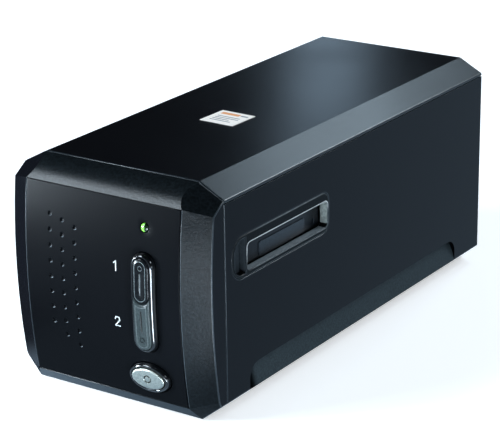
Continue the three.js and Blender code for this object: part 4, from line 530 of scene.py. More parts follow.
def rounds_over(edge, width):
    """Whether an edge stands out sharply between two faces wide enough to take a rounding."""
    if len(edge.link_faces) != 2 or edge.calc_face_angle_signed(0) < SHARP_ANGLE:
        return False
    if all(by_grip(vertex) for vertex in edge.verts):
        return False
    return all(face_width(face) > width for face in edge.link_faces)


def by_grip(vertex):
    """Whether a vertex lies on a grip or on its rim, which stays sharp."""
    y = vertex.co.y / MM + MIDDLE
    z = vertex.co.z / MM
    return GRIP_Y[0] - GRIP_MARGIN < y < GRIP_Y[1] + GRIP_MARGIN and z < GRIP_TOP + GRIP_LIP


def face_width(face):
    return 2 * face.calc_area() / face.calc_perimeter()


def creases(edge):
    """Whether an edge is a crease beside a flat wall or between broad faces, not a step in a curve."""
    if len(edge.link_faces) != 2 or edge.calc_face_angle() < CREASE_ANGLE:
        return False
    if all(in_dish(vertex) for vertex in edge.verts):
        return False
    rolled = [on_roll(face) for face in edge.link_faces]
    if any(rolled):
        return not all(rolled)
    narrow, broad = sorted(face_width(face) / MM for face in edge.link_faces)
    return narrow > BROAD_FACE or broad > FLAT_WALL


def on_roll(face):
    """Whether a face belongs to the rolled top edge of the bezel."""
    middle = face.calc_center_median() / MM
    turned = abs(face.normal.x) < UNTURNED and FACING < face.normal.z < ROLL_END
    return turned and middle.z > PANEL_TOP and middle.y < ROLL_DEPTH - MIDDLE


def in_dish(vertex):
    """Whether a vertex lies on the drum-shaped hollow in front of a slot's mouth."""
    x, y, z = vertex.co / MM
    along = DISH_FRONT < y + MIDDLE < MOUTH_Y[0] - 2 * PAINT_MARGIN
    upright = MOUTH_Z[0] - DISH_BELOW < z < MOUTH_Z[1] + DISH_ABOVE
    return abs(x) > DISH_FLOOR and along and upright


def dressed(node, slot, width, finishes=(), paint=None):
    """A copy of a CAD node with small rounded edges.

    The last finish covers the rounded edges; on the case, bezel and slot frames that is a paler rim finish,
    a painted highlight. Paint names the finish of each face, from its middle in millimetres in the part's
    own layout and its normal. Without it, every face has the first finish.
    """
    piece = bpy.data.objects.new(node + "_moulding", frame["nodes"][node].data.copy())
    mesh = piece.data
    mesh.materials.clear()
    finishes = list(finishes) or [slot]
    bm = bmesh.new()
    bm.from_mesh(mesh)
    bmesh.ops.remove_doubles(bm, verts=bm.verts, dist=MERGE_DISTANCE * MM)
    bmesh.ops.dissolve_limit(bm, angle_limit=FLAT_ANGLE, verts=bm.verts, edges=bm.edges)
    for face in bm.faces:
        middle = face.calc_center_median() / MM + Vector((0, MIDDLE, 0))
        face.material_index = finishes.index(paint(middle, face.normal)) if paint else 0
    weights = bm.edges.layers.float.new("bevel_weight_edge")
    for edge in bm.edges:
        edge[weights] = 1 if rounds_over(edge, width * MM) else 0
    bm.edges.index_update()
    creased = [edge.index for edge in bm.edges if creases(edge)]
    bm.to_mesh(mesh)
    bm.free()
    settle(piece, slot, node, finishes)
    for i in creased:
        mesh.edges[i].use_edge_sharp = True
    bevel = piece.modifiers.new("rounded", "BEVEL")
    bevel.width = width * MM
    bevel.segments = BEVEL_SEGMENTS
    bevel.limit_method = "WEIGHT"
    bevel.use_clamp_overlap = False
    bevel.harden_normals = True
    bevel.material = len(finishes) - 1
    return piece


def arc(middle, radius, turns):
    return [(middle[0] + radius * math.cos(a), middle[1] + radius * math.sin(a)) for a in turns]


def oval(low, high, radius, arc_count, side_count=8):
    """An upright oval round the control line, counterclockwise from its right-hand shoulder."""
    rise = (high - low - 2 * radius) / (side_count + 1)
    upper_turn = [math.pi * i / arc_count for i in range(arc_count + 1)]
    lower_turn = [math.pi * (1 + i / arc_count) for i in range(arc_count + 1)]
    top = arc((CONTROL_LINE, high - radius), radius, upper_turn)
    bottom = arc((CONTROL_LINE, low + radius), radius, lower_turn)
    left = [(CONTROL_LINE - radius, high - radius - rise * (i + 1)) for i in range(side_count)]
    right = [(CONTROL_LINE + radius, low + radius + rise * (i + 1)) for i in range(side_count)]
    return top + left + bottom + right


def ellipse(middle, half, count):
    turns = [2 * math.pi * i / count for i in range(count)]
    return [(middle[0] + half[0] * math.cos(a), middle[1] + half[1] * math.sin(a)) for a in turns]


def rectangle(half_width, low, high, spacing):
    across = max(2, round(2 * half_width / spacing))
    up = max(2, round((high - low) / spacing))
    xs = [half_width * (2 * i / across - 1) for i in range(across)]
    zs = [low + (high - low) * i / up for i in range(up)]
    bottom = [(x, low) for x in xs]
    right = [(half_width, z) for z in zs]
    top = [(-x, high) for x in xs]
    left = [(-half_width, low + high - z) for z in zs]
    return bottom + right + top + left


def inside(point, outlines):
    x, z = point
    crossings = 0
    for outline in outlines:
        for (x0, z0), (x1, z1) in zip(outline, outline[1:] + outline[:1]):
            if (z0 > z) != (z1 > z) and x < x0 + (z - z0) * (x1 - x0) / (z1 - z0):
                crossings += 1
    return crossings % 2 == 1


def relief_faces(edges, rings, points):
    """Triangulates a relief. Edges are its outlines, with their sink; rings are closed lines on it.

    Returns its vertices as X, Z and sink, and its triangles.
    """
    flat, sinks, links = [], [], []
    for outline, sink in edges + rings:
        start = len(flat)
        flat += [Vector(point) for point in outline]
        sinks += [sink] * len(outline)
        links += [(start + i, start + (i + 1) % len(outline)) for i in range(len(outline))]
    flat += [Vector(point[:2]) for point in points]
    sinks += [point[2] for point in points]
    places, _, faces, origins, _, _ = delaunay_2d_cdt(flat, links, [], 0, JOIN_DISTANCE)
    outlines = [outline for outline, _ in edges]
    kept = []
    for face in faces:
        middle = sum((places[i] for i in face), Vector((0, 0))) / len(face)
        if inside(middle, outlines):
            kept.append(tuple(face))
    depths = [sinks[origin[0]] if origin else 0 for origin in origins]
    return [(p.x, p.y, sink) for p, sink in zip(places, depths)], kept


def relief_plate(bm, edges, rings, points, front, back):
    """Adds a plate to a mesh: a relief whose front lies at front(z) plus sink and whose back at back(z)."""
    vertices, faces = relief_faces(edges, rings, points)
    used = [(i, *vertices[i]) for i in sorted({i for face in faces for i in face})]
    fronts = {i: bm.verts.new(placed(x, front(z) + sink, z)) for i, x, z, sink in used}
    backs = {i: bm.verts.new(placed(x, back(z), z)) for i, x, z, _ in used}
    count = {}
    for face in faces:
        bm.faces.new([fronts[i] for i in face])
        bm.faces.new([backs[i] for i in reversed(face)])
        for a, b in zip(face, face[1:] + face[:1]):
            count.setdefault(frozenset((a, b)), []).append((a, b))
    for uses in count.values():
        if len(uses) == 1:
            a, b = uses[0]
            bm.faces.new([fronts[b], fronts[a], backs[a], backs[b]])


def rounded(outline_at, width, depth, step_count=4, outward=False):
    """Outlines that round a plate's edge over: the edge itself first, then the rings behind it."""
    loops = []
    for i in range(step_count + 1):
        angle = math.pi / 2 * i / step_count
        offset = width * (1 - math.cos(angle))
        loops.append((outline_at(offset if outward else -offset), depth * (1 - math.sin(angle))))
    return loops[0], loops[1:]


def loft(bm, sections, closed=True):
    """Adds a skin through closed rings of points. A closed skin joins its last ring to its first."""
    rings = [[bm.verts.new(placed(*point)) for point in section] for section in sections]
    following = rings[1:] + rings[:1] if closed else rings[1:]
    for first, second in zip(rings, following):
        for i in range(len(first)):
            j = (i + 1) % len(first)
            bm.faces.new([first[i], first[j], second[j], second[i]])
    if not closed:
        bm.faces.new(rings[0])
        bm.faces.new(rings[-1])


def on_face(outline, offset):
    return [(x, face_depth(z) + offset, z) for x, z in outline]


def corners(x, y):
    return [(x[0], y[0]), (x[1], y[0]), (x[1], y[1]), (x[0], y[1])]


def block(bm, x, y, z):
    """Adds a box that spans the given ranges."""
    loft(bm, [[(a, b, c) for a, b in corners(x, y)] for c in z], closed=False)


def post(bm, at, radius, y, count=20):
    """Adds a round post along Y."""
    outline = ellipse(at, (radius, radius), count)
    loft(bm, [[(x, depth, z) for x, z in outline] for depth in y], closed=False)


# Front panel.


def dimple_places():
    return [
        (x, highest - row * spacing)
        for x, highest, spacing, row_count in DIMPLE_COLUMNS
        for row in range(row_count)
    ]


def catches_light(across, up):
    """Whether a spot, measured from a dimple's middle, lies on the painted glint on its wall."""
    share = math.hypot(across, up) / DIMPLE_RADIUS
    turn = math.degrees(math.atan2(up, across))
    return GLINT_SHARE[0] < share < GLINT_SHARE[1] and GLINT_TURN[0] < turn < GLINT_TURN[1]


def panel_edge(extra):
    return rectangle(PANEL_HALF_WIDTH + extra, PANEL_BOTTOM - extra, PANEL_TOP + extra, PANEL_GRID)


def surround_outline(extra, sides=SURROUND_SIDES):
    return oval(SURROUND_BOTTOM - extra, SURROUND_TOP + extra, SURROUND_HALF_WIDTH + extra, sides)


def power_outline(extra, sides=POWER_RING_SIDES):
    return ellipse((CONTROL_LINE, POWER_HEIGHT), (POWER_HALF[0] + extra, POWER_HALF[1] + extra), sides)


def surround_hole(extra):
    return surround_outline(FIT + extra, SURROUND_HOLE_SIDES)


def power_hole(extra):
    return power_outline(FIT + extra, POWER_HOLE_SIDES)


def lamp_hole(extra):
    return ellipse((CONTROL_LINE, LAMP_HEIGHT), (LAMP_RADIUS + FIT + extra,) * 2, LAMP_HOLE_SIDES)


def panel_paint(middle):
    """The lower right of each dimple's wall has a painted glint, and the rounding of the left edge a dull
    finish as painted shade.
    """
    if any(catches_light(middle.x - x, middle.z - z) for x, z in dimple_places()):
        return "dimple_lip"
    return "panel_side" if middle.x < -PANEL_HALF_WIDTH + PANEL_EDGE / 2 else "panel_black"


def front_panel():
    """The curved plate, with dimples, holes and the posts that stand on the button board."""
    bm = bmesh.new()
    holes = (surround_hole, power_hole, lamp_hole)
    edges, rings = [], []
    for outline_at in (panel_edge, *holes):
        outward = outline_at in holes
        width = HOLE_EDGE if outward else PANEL_EDGE
        edge, inner = rounded(outline_at, width, width, outward=outward)
        edges.append(edge)
        rings += inner
    rings.append((panel_edge(-PANEL_EDGE - PANEL_EDGE_RING), 0))
    points = []
    for place in dimple_places():
        for share, sink in DIMPLE_PROFILE:
            rings.append((ellipse(place, (DIMPLE_RADIUS * share,) * 2, DIMPLE_SIDES), sink))
        points.append((*place, DIMPLE_PROFILE[-1][1]))
    points += panel_grid([panel_edge(-PANEL_GRID_INSET)], [hole(HOLE_MARGIN) for hole in holes])
    relief_plate(bm, edges, rings, points, face_depth, lambda z: face_depth(z) + PANEL_THICKNESS)
    for face in bm.faces:
        face.material_index = PANEL.index(panel_paint(face.calc_center_median() / MM))
    for side in (-1, 1):
        for height in PANEL_POST_HEIGHTS:
            at = (CONTROL_LINE + side * PANEL_POST_SPREAD, height)
            root = face_depth(height) + PANEL_THICKNESS - ROOT
            post(bm, at, PANEL_POST_RADIUS, (root, BOARD_FRONT))
    return piece_from("front_panel_moulding", bm, "case_black", "front_panel", PANEL)


def panel_grid(outer, holes):
    """Grid points on the panel, clear of its edges, holes and dimples."""
    points = []
    dimples = dimple_places()
    column_count = int(2 * PANEL_HALF_WIDTH / PANEL_GRID)
    row_count = int((PANEL_TOP - PANEL_BOTTOM) / PANEL_GRID)
    for i in range(1, column_count):
        for j in range(1, row_count):
            x = PANEL_HALF_WIDTH * (2 * i / column_count - 1)
            z = PANEL_BOTTOM + (PANEL_TOP - PANEL_BOTTOM) * j / row_count
            clear = all(math.hypot(x - a, z - b) > DIMPLE_RADIUS + DIMPLE_MARGIN for a, b in dimples)
            if clear and inside((x, z), outer) and not any(inside((x, z), [hole]) for hole in holes):
                points.append((x, z, 0))
    return points


# Controls.

# Sections of the two raised rings: distance outward from the outline, and depth behind the face.
SURROUND_PROFILE = [
    (0, FLANGE_FRONT), (1.6, FLANGE_FRONT), (1.6, FLANGE_BACK), (-1.7, FLANGE_BACK), (-1.7, -2.7),
    (-1.67, -2.85), (-1.58, -2.96), (-1.45, -3.0), (-1.28, -2.98), (-1.08, -2.89), (-0.86, -2.72),
    (-0.65, -2.46), (-0.46, -2.1), (-0.3, -1.66), (-0.16, -1.14), (-0.06, -0.56), (0, 0),
]
POWER_RING_PROFILE = [
    (0, FLANGE_FRONT), (1.6, FLANGE_FRONT), (1.6, FLANGE_BACK), (-2.2, FLANGE_BACK), (-2.2, -1.7),
    (-2.14, -2.05), (-1.98, -2.35), (-1.72, -2.55), (-1.4, -2.6), (-1.1, -2.5), (-0.82, -2.25),
    (-0.58, -1.85), (-0.38, -1.35), (-0.2, -0.75), (0, 0),
]

# The lens's section, as radius and depth behind the face.
LENS_PROFILE = [
    (0.12, -0.75), (0.6, -0.73), (1.1, -0.64), (1.5, -0.5), (1.85, -0.28), (2.1, 0), (LAMP_RADIUS, 0.35),
    (LAMP_RADIUS, FLANGE_FRONT), (3.3, FLANGE_FRONT), (3.3, FLANGE_BACK), (LAMP_RADIUS, FLANGE_BACK),
    (LAMP_RADIUS, 7.5),
]


def ring_piece(node, outline_at, profile):
    """A raised ring that follows the front's curve."""
    bm = bmesh.new()
    loft(bm, [on_face(outline_at(extra), depth) for extra, depth in profile])
    return piece_from(node + "_moulding", bm, "gloss_black", node)


def pill(middle, low, high, radius, count=8):
    """A narrow upright outline with round ends."""
    turns = [math.pi * i / count for i in range(count + 1)]
    return arc((middle, high - radius), radius, turns) + arc((middle, low + radius), -radius, turns)


def sunk_line(middle, low, high, half_width, depth):
    """Rings of a shallow groove with rounded shoulders."""
    rings = []
    for inset, share in GROOVE_STEPS:
        rings.append((pill(middle, low + inset, high - inset, half_width - inset), depth * share))
    return rings


def ring_mark(middle, radius, half_width, depth):
    """Rings of a shallow round groove, from its outer edge to its inner one."""
    floor = half_width * RING_FLOOR
    steps = ((half_width, 0), (floor, 1), (-floor, 1), (-half_width, 0))
    return [(ellipse(middle, (radius + extra,) * 2, RING_SIDES), depth * share) for extra, share in steps]


def cap(bm, outline_at, proud, marks, height, line=None):
    """Adds a button: a rounded face with its marks, a skirt, the tab that holds it and its plunger.

    Each mark is a list of rings, and its floor has the second finish. Line is the range, inward from the
    edge, of a fine pale line round the face, a painted highlight, which has the third.
    """
    edge, rings = rounded(outline_at, BUTTON_EDGE_WIDTH, BUTTON_EDGE_DEPTH, BUTTON_EDGE_STEPS)
    painted = [[mark[1][0], mark[2][0]] if len(mark) == RING_STEPS else [mark[1][0]] for mark in marks]
    for mark in marks:
        rings += mark
    if line:
        rings += [(outline_at(-inset), SCAN_EDGE_HIGHLIGHT_SINK) for inset in line]
    tab = face_depth(height) + FLANGE_BACK + 2 * FIT
    relief_plate(bm, [edge], rings, [], lambda z: face_depth(z) - proud, lambda z: tab + SKIRT_ROOT)
    for face in bm.faces:
        middle = face.calc_center_median() / MM + Vector((0, MIDDLE, 0))
        spot = (middle.x, middle.z)
        if middle.y > face_depth(middle.z) - proud + BUTTON_EDGE_DEPTH:
            continue
        if any(inside(spot, outlines) for outlines in painted):
            face.material_index = 1
        elif line and inside(spot, [outline_at(-inset) for inset in line]):
            face.material_index = 2
    across = (CONTROL_LINE - TAB_HALF_WIDTH, CONTROL_LINE + TAB_HALF_WIDTH)
    block(bm, across, (tab, tab + TAB_THICKNESS), (height - TAB_HALF_HEIGHT, height + TAB_HALF_HEIGHT))
    post(bm, (CONTROL_LINE, height), PLUNGER_RADIUS, (tab + TAB_THICKNESS / 2, PLUNGER_BACK))


def upper_outline(extra, arc_count=24, side_count=6):
    return oval(SCAN_JOINT - extra, SCAN_TOP + extra, SCAN_RADIUS + extra, arc_count, side_count)


def lower_outline(extra, arc_count=24, side_count=6):
    """The lower button's outline: round below and hollow above, to follow the upper one."""
    radius = SCAN_RADIUS + extra
    hollow = SCAN_RADIUS + FIT - extra
    hollow_middle = SCAN_JOINT + SCAN_RADIUS
    shoulder = hollow_middle - math.sqrt(hollow**2 - radius**2) if hollow > radius else hollow_middle
    reach = math.asin(min(1, radius / hollow))
    low = SCAN_BOTTOM + SCAN_RADIUS
    lower_turn = [math.pi * (1 + i / arc_count) for i in range(arc_count + 1)]
    bottom = arc((CONTROL_LINE, low), radius, lower_turn)
    rise = (shoulder - low) / (side_count + 1)
    right = [(CONTROL_LINE + radius, low + rise * (i + 1)) for i in range(side_count)]
    left = [(CONTROL_LINE - radius, shoulder - rise * (i + 1)) for i in range(side_count)]
    turns = [reach - 2 * reach * i / arc_count for i in range(arc_count + 1)]
    top = [(CONTROL_LINE + hollow * math.sin(a), hollow_middle - hollow * math.cos(a)) for a in turns]
    return bottom + right + top + left


# The scan buttons: outline, height of the tab, reach of the groove, height of the ring mark, and finishes.
SCAN_BUTTONS = {
    "upper_button": (
        upper_outline, (SCAN_JOINT + SCAN_TOP) / 2, (65.2, 76.4), 79,
        ("dark_button", "button_mark", "button_line"),
    ),
    "lower_button": (
        lower_outline, (SCAN_BOTTOM + SCAN_JOINT) / 2 - SCAN_RADIUS / 4, (46.2, 57.4), 42,
        ("grey_button", "dark_mark", "button_line"),
    ),
}


def scan_button(node, outline_at, height, groove, ring_height, finishes):
    bm = bmesh.new()
    marks = [
        sunk_line(CONTROL_LINE, *groove, GROOVE_HALF_WIDTH, GROOVE_DEPTH),
        ring_mark((CONTROL_LINE, ring_height), *SCAN_RING),
    ]
    cap(bm, outline_at, SCAN_PROUD, marks, height, SCAN_EDGE_HIGHLIGHT)
    return piece_from(node + "_moulding", bm, finishes[0], node, finishes)


def power_button():
    bm = bmesh.new()

    def outline(extra):
        return power_outline(extra - POWER_INSET, POWER_HOLE_SIDES)

    cap(bm, outline, POWER_PROUD, [ring_mark((CONTROL_LINE, POWER_HEIGHT), *POWER_MARK)], POWER_HEIGHT)
    finishes = ("silver_paint", "dark_mark")
    return piece_from("power_button_moulding", bm, "silver_paint", "power_button", finishes)


def status_light():
    """A domed lens, set square to the panel's slope there."""
    bm = bmesh.new()
    face = face_depth(LAMP_HEIGHT)
    tilt = math.atan((LAMP_HEIGHT - FACE_APEX) / FACE_RADIUS)
    sections = []
    for radius, depth in LENS_PROFILE:
        ring = []
        for x, z in ellipse((0, 0), (radius, radius), LAMP_SIDES):
            y = depth * math.cos(tilt) + z * math.sin(tilt)
            up = z * math.cos(tilt) - depth * math.sin(tilt)
            ring.append((CONTROL_LINE + x, face + y, LAMP_HEIGHT + up))
        sections.append(ring)
    loft(bm, sections, closed=False)
    return piece_from("status_light_lens", bm, "green_lens", "status_light")


# Marks and label.


def printed_digit(digit, middle):
    """A digit printed beside a button, as a thin strip along its strokes."""
    bm = bmesh.new()
    points = [Vector((middle[0] + x, middle[1] + z)) for x, z in DIGITS[digit]]
    for a, b in zip(points, points[1:]):
        along = (b - a).normalized() * (STROKE / 2)
        across = Vector((-along.y, along.x))
        ends = [a - along - across, b + along - across, b + along + across, a - along + across]
        outline = [(end.x, end.y) for end in ends]
        loft(bm, [on_face(outline, -DIGIT_PROUD), on_face(outline, DIGIT_ROOT)], closed=False)
    return piece_from("digit_" + digit, bm, "paper", finishes=["print_white"])


def label():
    """A small square label with a coloured bar and plain ruled lines."""
    bm = bmesh.new()
    turn = Matrix.Rotation(math.radians(LABEL_TURN), 4, "Z")
    mx, my, mz = LABEL_MIDDLE
    for x, y, z, finish in LABEL_PARTS:
        before = len(bm.faces)
        rings = [[turn @ Vector((a, b, height)) for a, b in corners(x, y)] for height in z]
        loft(bm, [[(mx + p.x, my + p.y, mz + p.z) for p in ring] for ring in rings], closed=False)
        bm.faces.ensure_lookup_table()
        for face in bm.faces[before:]:
            face.material_index = LABEL.index(finish)
    return piece_from("top_label_print", bm, "paper", "top_label", LABEL)


# Finishes of the pieces that have several.
PANEL = ("panel_black", "dimple_lip", "panel_side")
LABEL = ("paper", "print_orange", "print_grey")
CASE = ("case_black", "case_rim")
BEZEL = ("bezel_black", "case_black", "bezel_foot", "bezel_roll", "bezel_shade", "bezel_rim")
CASE_BASE = ("case_black", "grip_grey", "case_rim")
SLOT_FRAME = ("slot_black", "slot_wall", "slot_sill", "slot_dish", "slot_rim")
FLAP = ("flap_black", "flap_pad")


def slot_paint(middle, normal):
    """Walls and sill inside the mouth of a slot frame, paler as painted reflection and painted light, and
    the hollow in front of it, lifted by painted light and darker by the lip as painted shade.
    """
    outward = normal.x if middle.x > 0 else -normal.x
    along = DISH_FRONT < middle.y < MOUTH_Y[0] - 2 * PAINT_MARGIN
    sunk = DISH_FLOOR < abs(middle.x) < CASE_SIDE - 2 * PAINT_MARGIN
    lip = normal.y < -LIP_SQUARE and middle.y > LIP_FRONT
    if along and sunk and (outward > FACING or lip):
        return "slot_dish"
    along = MOUTH_Y[0] - PAINT_MARGIN < middle.y < MOUTH_Y[1] + PAINT_MARGIN
    upright = MOUTH_Z[0] - PAINT_MARGIN < middle.z < MOUTH_Z[1] + PAINT_MARGIN
    if not (along and upright) or abs(normal.x) > FACING or SLOPING < normal.z < SQUARE:
        return "slot_black"
    return "slot_sill" if normal.z > FACING else "slot_wall"


def base_paint(middle, normal):
    """The floor of each grip is paler than the case as painted light, with painted shadow under its ledge
    and at its front end.
    """
    along = GRIP_Y[0] + GRIP_END < middle.y < GRIP_Y[1] - GRIP_END
    upright = GRIP_BOTTOM < middle.z < GRIP_TOP
    sunk = CASE_SIDE - GRIP_DEPTH < abs(middle.x) < CASE_SIDE - PAINT_MARGIN / 2
    floor = normal.x * middle.x > 0 and -LEANING < normal.z < SQUARE
    return "grip_grey" if along and upright and sunk and floor else "case_black"


def bezel_paint(middle, normal):
    """Sides in the case's finish, the left bevel too as painted shade, a dull facet low on the left as
    painted shade, and a paler rolled edge and foot under the panel as painted highlight and painted
    reflection.
    """
    if normal.x < -LEANING and normal.z < -SLOPING:
        return "bezel_shade"
    # The left bevel takes the case's duller finish: painted shade.
    if abs(normal.x) > SQUARE or normal.x < -LEANING:
        return "case_black"
    on_top = abs(normal.x) < UNTURNED and middle.z > PANEL_TOP
    if on_top and normal.z > ROLL_SLOPE and middle.y < ROLL_HIGHLIGHT_DEPTH:
        return "bezel_roll"
    below = normal.z < -FOOT_SLOPE and middle.y < FOOT_DEPTH
    return "bezel_foot" if below and abs(middle.x) < PANEL_HALF_WIDTH - FOOT_INSET else "bezel_black"


def slot_bead(name, side):
    """A fine raised bead over the mouth of a slot frame, tapered out down the mouth's two ends. Its
    near-white finish is a painted highlight.
    """
    bm = bmesh.new()
    reach = MOUTH_RADIUS + BEAD_RADIUS
    front, rear = MOUTH_Y[0] + MOUTH_RADIUS, MOUTH_Y[1] - MOUTH_RADIUS
    low, high = MOUTH_Z[0], MOUTH_Z[1] - MOUTH_RADIUS
    path = [(rear + reach, low + (high - low) * up, 0, share) for up, share in BEAD_REAR_TAPER]
    for middle, turn in ((rear, 0), (front, 1)):
        path += [(middle + reach * math.cos(a), high + reach * math.sin(a), a, 1) for a in quarter(turn)]
    path += [(front - reach, low + (high - low) * share, math.pi, share) for share in BEAD_FRONT_TAPER]
    rings = []
    for y, z, angle, share in path:
        ring = []
        for outward, aside in ellipse((0, 0), (BEAD_RADIUS * share,) * 2, BEAD_SIDES):
            x = CASE_SIDE - BEAD_SINK + aside
            ring.append((side * x, y + outward * math.cos(angle), z + outward * math.sin(angle)))
        rings.append(ring)
    loft(bm, rings, closed=False)
    return piece_from(name, bm, "gloss_black", finishes=["slot_bead"])


def quarter(turn, count=8):
    return [math.pi / 2 * (turn + i / count) for i in range(count + 1)]


def soft_rectangle(y, z, radius):
    """A rounded upright rectangle, as Y and Z."""
    y = (y[0] + radius, y[1] - radius)
    z = (z[0] + radius, z[1] - radius)
    outline = []
    for turn, middle in enumerate(((y[1], z[1]), (y[0], z[1]), (y[0], z[0]), (y[1], z[0]))):
        outline += arc(middle, radius, quarter(turn, count=5))
    return outline


def pad(bm, y, z, radius, x, edge, side, step_count=4):
    """Adds a plate that stands on its back, with its front edge rounded."""
    sections = [[(side * x[0], a, b) for a, b in soft_rectangle(y, z, radius)]]
    for i in range(step_count + 1):
        angle = math.pi / 2 * i / step_count
        inset = edge * (1 - math.cos(angle))
        outline = soft_rectangle((y[0] + inset, y[1] - inset), (z[0] + inset, z[1] - inset), radius - inset)
        sections.append([(side * (x[1] - edge + edge * math.sin(angle)), a, b) for a, b in outline])
    loft(bm, sections, closed=False)


def dust_flap(name, side):
    """A flap behind a slot: plate, barrel round the pin, the pad that the holder pushes, and a ridge."""
    bm = bmesh.new()
    back = FLAP_FACE - FLAP_THICKNESS
    pad(bm, FLAP_Y, (FLAP_LOW, BARREL_HEIGHT - 1), FLAP_RADIUS, (back, FLAP_FACE), FLAP_EDGE, side)
    barrel = ellipse((back, BARREL_HEIGHT), (BARREL_RADIUS, BARREL_RADIUS), BARREL_SIDES)
    ends = (FLAP_Y[0] + BARREL_LEAD, FLAP_Y[1])
    loft(bm, [[(side * x, y, z) for x, z in barrel] for y in ends], closed=False)
    plain = len(bm.faces)
    proud = (FLAP_FACE - ROOT, FLAP_FACE + PAD_PROUD)
    pad(bm, PAD_Y, PAD_Z, PAD_RADIUS, proud, PAD_EDGE, side)
    pad(bm, RIDGE_Y, RIDGE_Z, RIDGE_RADIUS, proud, RIDGE_EDGE, side)
    # The pad and the ridge take a finish that is paler towards the top: painted light.
    bm.faces.ensure_lookup_table()
    for face in bm.faces[plain:]:
        face.material_index = FLAP.index("flap_pad")
    return piece_from(name + "_moulding", bm, "dark_plastic", name, FLAP)


# CAD nodes that get rounded edges: slot, width of the rounding, finishes, and what picks each face's finish.
ROUNDED = {
    "case_base": ("case_black", 0.4, CASE_BASE, base_paint),
    "top_cover": ("case_black", 0.6, CASE),
    "front_bezel": ("case_black", 0.5, BEZEL, bezel_paint),
    "rear_panel": ("case_black", 0.3, CASE),
    "slot_frame_right": ("gloss_black", 0.4, SLOT_FRAME, slot_paint),
    "slot_frame_left": ("gloss_black", 0.4, SLOT_FRAME, slot_paint),
    "usb_socket": ("sheet_steel", 0.15),
    "power_jack": ("dark_plastic", 0.25),
    "rear_screw_left": ("steel", 0.12),
    "rear_screw_right": ("steel", 0.12),
}
FOOT_ROUNDING = 0.25

front_panel()
ring_piece("button_surround", surround_outline, SURROUND_PROFILE)
ring_piece("power_ring", power_outline, POWER_RING_PROFILE)
for name, choice in SCAN_BUTTONS.items():
    scan_button(name, *choice)
power_button()
status_light()
label()
printed_digit("1", (DIGIT_COLUMN, UPPER_DIGIT_HEIGHT))
printed_digit("2", (DIGIT_COLUMN, LOWER_DIGIT_HEIGHT))
for make_both, name in ((slot_bead, "slot_bead_"), (dust_flap, "dust_flap_")):
    make_both(name + "right", 1)
    make_both(name + "left", -1)
for name, choice in ROUNDED.items():
    dressed(name, *choice)
for name in ("foot_front_left", "foot_front_right", "foot_rear_left", "foot_rear_right"):
    dressed(name, "rubber", FOOT_ROUNDING)

# The CAD nodes that still show take the finish of their slot.
SLOT_OF = {part["node"]: part["material_slot"] for part in frame["record"]["subparts"]}
for name, node in frame["nodes"].items():
    if not node.hide_render:
        for slot in node.material_slots:
            slot.link = "OBJECT"
            slot.material = FINISHES[SLOT_OF[name]]


# Stage, light and camera. Lengths are metres from here on.

FLOOR_SIZE = 6
FLOOR_IN_GLOSS = (0.6, 0.84, 1.1, 1)

# The floor's own glow near the object and far off, and where it goes from one to the other.
FLOOR_GLOW = (0.5, 1)
FLOOR_GLOW_REACH = (0.5, 1.5)

# A patch of painted shade on the floor, front left, that shows only in gloss: where its sides fade in along
# X and Y.
PAINTED_SHADE_PATCH_X = (-0.06, -0.1)
PAINTED_SHADE_PATCH_Y = (-0.24, -0.18)

WORLD_LEVEL = 0.02

CAMERA_PLACE = (0.5728, -0.8605, 0.4259)
CAMERA_AZIMUTH = 33.89
CAMERA_ELEVATION = 19.71
CAMERA_ROLL = -0.79
CAMERA_LENS = 146.8
SENSOR_WIDTH = 36

# Lamps: name, place, aim, size, radiance, colour, and the angle that the grid lets through.
KEY_BLUE = (0.82, 0.92, 1)
COOL = (0.78, 0.9, 1)
LAMPS = [
    ("key", (-0.88, -0.82, 1.11), (0, -0.137, 0.11), (0.45, 0.4), 24, KEY_BLUE),
    ("roll", (-0.69, -0.93, 0.66), (0.01, -0.13, 0.113), (0.4, 0.2), 36, (0.72, 0.87, 1)),
    ("low_left", (-0.37, -0.41, 0.08), (-0.05, -0.13, 0.1), (0.07, 0.1), 36, COOL, 60),
    ("main", (0.75, 1.45, 1.15), (0.05, 0.02, 0.1), (0.7, 0.5), 14, KEY_BLUE),
    ("strip", (-0.789, 1.355, 0.7), (0, 0.07, 0.12), (0.1, 0.8), 2.4, (0.56, 0.78, 1)),
    ("back", (0.0, 1.33, 1.07), (0.053, 0.02, 0.116), (0.28, 0.28), 20, (0.66, 0.85, 1)),
    ("flank", (0.094, -0.176, 0.032), (0.033, -0.141, 0.06), (0.012, 0.055), 14, COOL, 60),
    ("right_high", (0.95, 0.05, 0.75), (0.06, -0.06, 0.05), (0.4, 0.25), 11, COOL),
    ("front_right", (0.138, -0.342, 0.025), (0.055, -0.137, 0.075), (0.16, 0.03), 8, COOL, 90),
    ("right_low", (0.75, -0.2, 0.08), (0.06, -0.1, 0.06), (0.3, 0.14), 4, COOL),
]


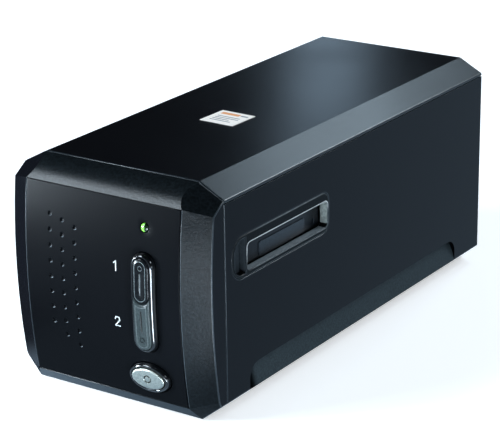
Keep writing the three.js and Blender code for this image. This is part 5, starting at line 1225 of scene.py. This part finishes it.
def floor_paper():
    """Paper that keeps the shadow, reads as white to the camera, and in gloss as an even blue-grey with a
    patch of painted shade front left.
    """
    recipe = Recipe("floor_paper")
    grain = recipe.ranged(recipe.noise(300, 2), 0, 1)
    paper = recipe.mixed(grain, srgb("f4f5f6"), srgb("f8f9fa"))
    path = recipe.add("ShaderNodeLightPath")
    glossy_ray = path.outputs["Is Glossy Ray"]
    recipe.set(Base_Color=recipe.mixed(glossy_ray, paper, srgb("000000")), Roughness=0.9)
    rays = [path.outputs[name] for name in ("Is Camera Ray", "Is Transmission Ray")]
    seen = recipe.combined("ADD", *rays, use_clamp=True)
    reach = recipe.add("ShaderNodeVectorMath", {"Vector": recipe.place}, operation="LENGTH").outputs["Value"]
    glow = recipe.ranged(reach, *FLOOR_GLOW, *FLOOR_GLOW_REACH)
    strength = recipe.combined("ADD", recipe.combined("MULTIPLY", seen, glow), glossy_ray)
    place = recipe.add("ShaderNodeSeparateXYZ", {"Vector": recipe.place})
    aside = recipe.ranged(place.outputs["X"], 0, 1, *PAINTED_SHADE_PATCH_X)
    beside = recipe.ranged(place.outputs["Y"], 0, 1, *PAINTED_SHADE_PATCH_Y)
    even = recipe.mixed(recipe.combined("MULTIPLY", aside, beside), FLOOR_IN_GLOSS, srgb("0e1012"))
    recipe.set(Emission_Color=recipe.mixed(glossy_ray, srgb("ffffff"), even), Emission_Strength=strength)
    return recipe.material


def backdrop():
    """A pale floor."""
    bm = bmesh.new()
    bmesh.ops.create_grid(bm, x_segments=1, y_segments=1, size=FLOOR_SIZE)
    mesh = bpy.data.meshes.new("floor")
    bm.to_mesh(mesh)
    bm.free()
    floor = bpy.data.objects.new("floor", mesh)
    bpy.context.scene.collection.objects.link(floor)
    mesh.materials.append(floor_paper())


def world_light():
    """A faint even light, which reads as white where the camera sees past the floor."""
    world = bpy.data.worlds.new("studio")
    bpy.context.scene.world = world
    world.use_nodes = True
    nodes, links = world.node_tree.nodes, world.node_tree.links
    background = nodes["Background"]
    path = nodes.new("ShaderNodeLightPath")
    level = nodes.new("ShaderNodeMapRange")
    level.inputs["To Min"].default_value = WORLD_LEVEL
    level.inputs["To Max"].default_value = 1
    links.new(path.outputs["Is Camera Ray"], level.inputs["Value"])
    links.new(level.outputs["Result"], background.inputs["Strength"])
    background.inputs["Color"].default_value = (1, 1, 1, 1)


def softbox(name, location, target, size, radiance, colour, spread=180):
    """A rectangular lamp, by the radiance of its face and the angle that its grid lets through."""
    light = bpy.data.lights.new(name, "AREA")
    light.shape = "RECTANGLE"
    light.size, light.size_y = size
    light.energy = radiance * math.pi * size[0] * size[1]
    light.color = colour
    light.spread = math.radians(spread)
    holder = bpy.data.objects.new(name, light)
    holder.location = location
    aim = Vector(target) - Vector(location)
    holder.rotation_euler = aim.to_track_quat("-Z", "Y").to_euler()
    bpy.context.scene.collection.objects.link(holder)


def photo_camera():
    """The photograph's camera, from the fit to its edges."""
    data = bpy.data.cameras.new("camera")
    data.sensor_fit = "HORIZONTAL"
    data.sensor_width = SENSOR_WIDTH
    data.lens = CAMERA_LENS
    camera = bpy.data.objects.new("camera", data)
    bpy.context.scene.collection.objects.link(camera)
    tilt = Euler((math.radians(90 - CAMERA_ELEVATION), 0, math.radians(CAMERA_AZIMUTH))).to_matrix()
    roll = Matrix.Rotation(math.radians(CAMERA_ROLL), 3, "Z")
    camera.matrix_world = Matrix.Translation(CAMERA_PLACE) @ (tilt @ roll).to_4x4()
    bpy.context.scene.camera = camera


backdrop()
world_light()
for lamp in LAMPS:
    softbox(*lamp)
photo_camera()
bpy.context.scene.view_settings.view_transform = "Standard"
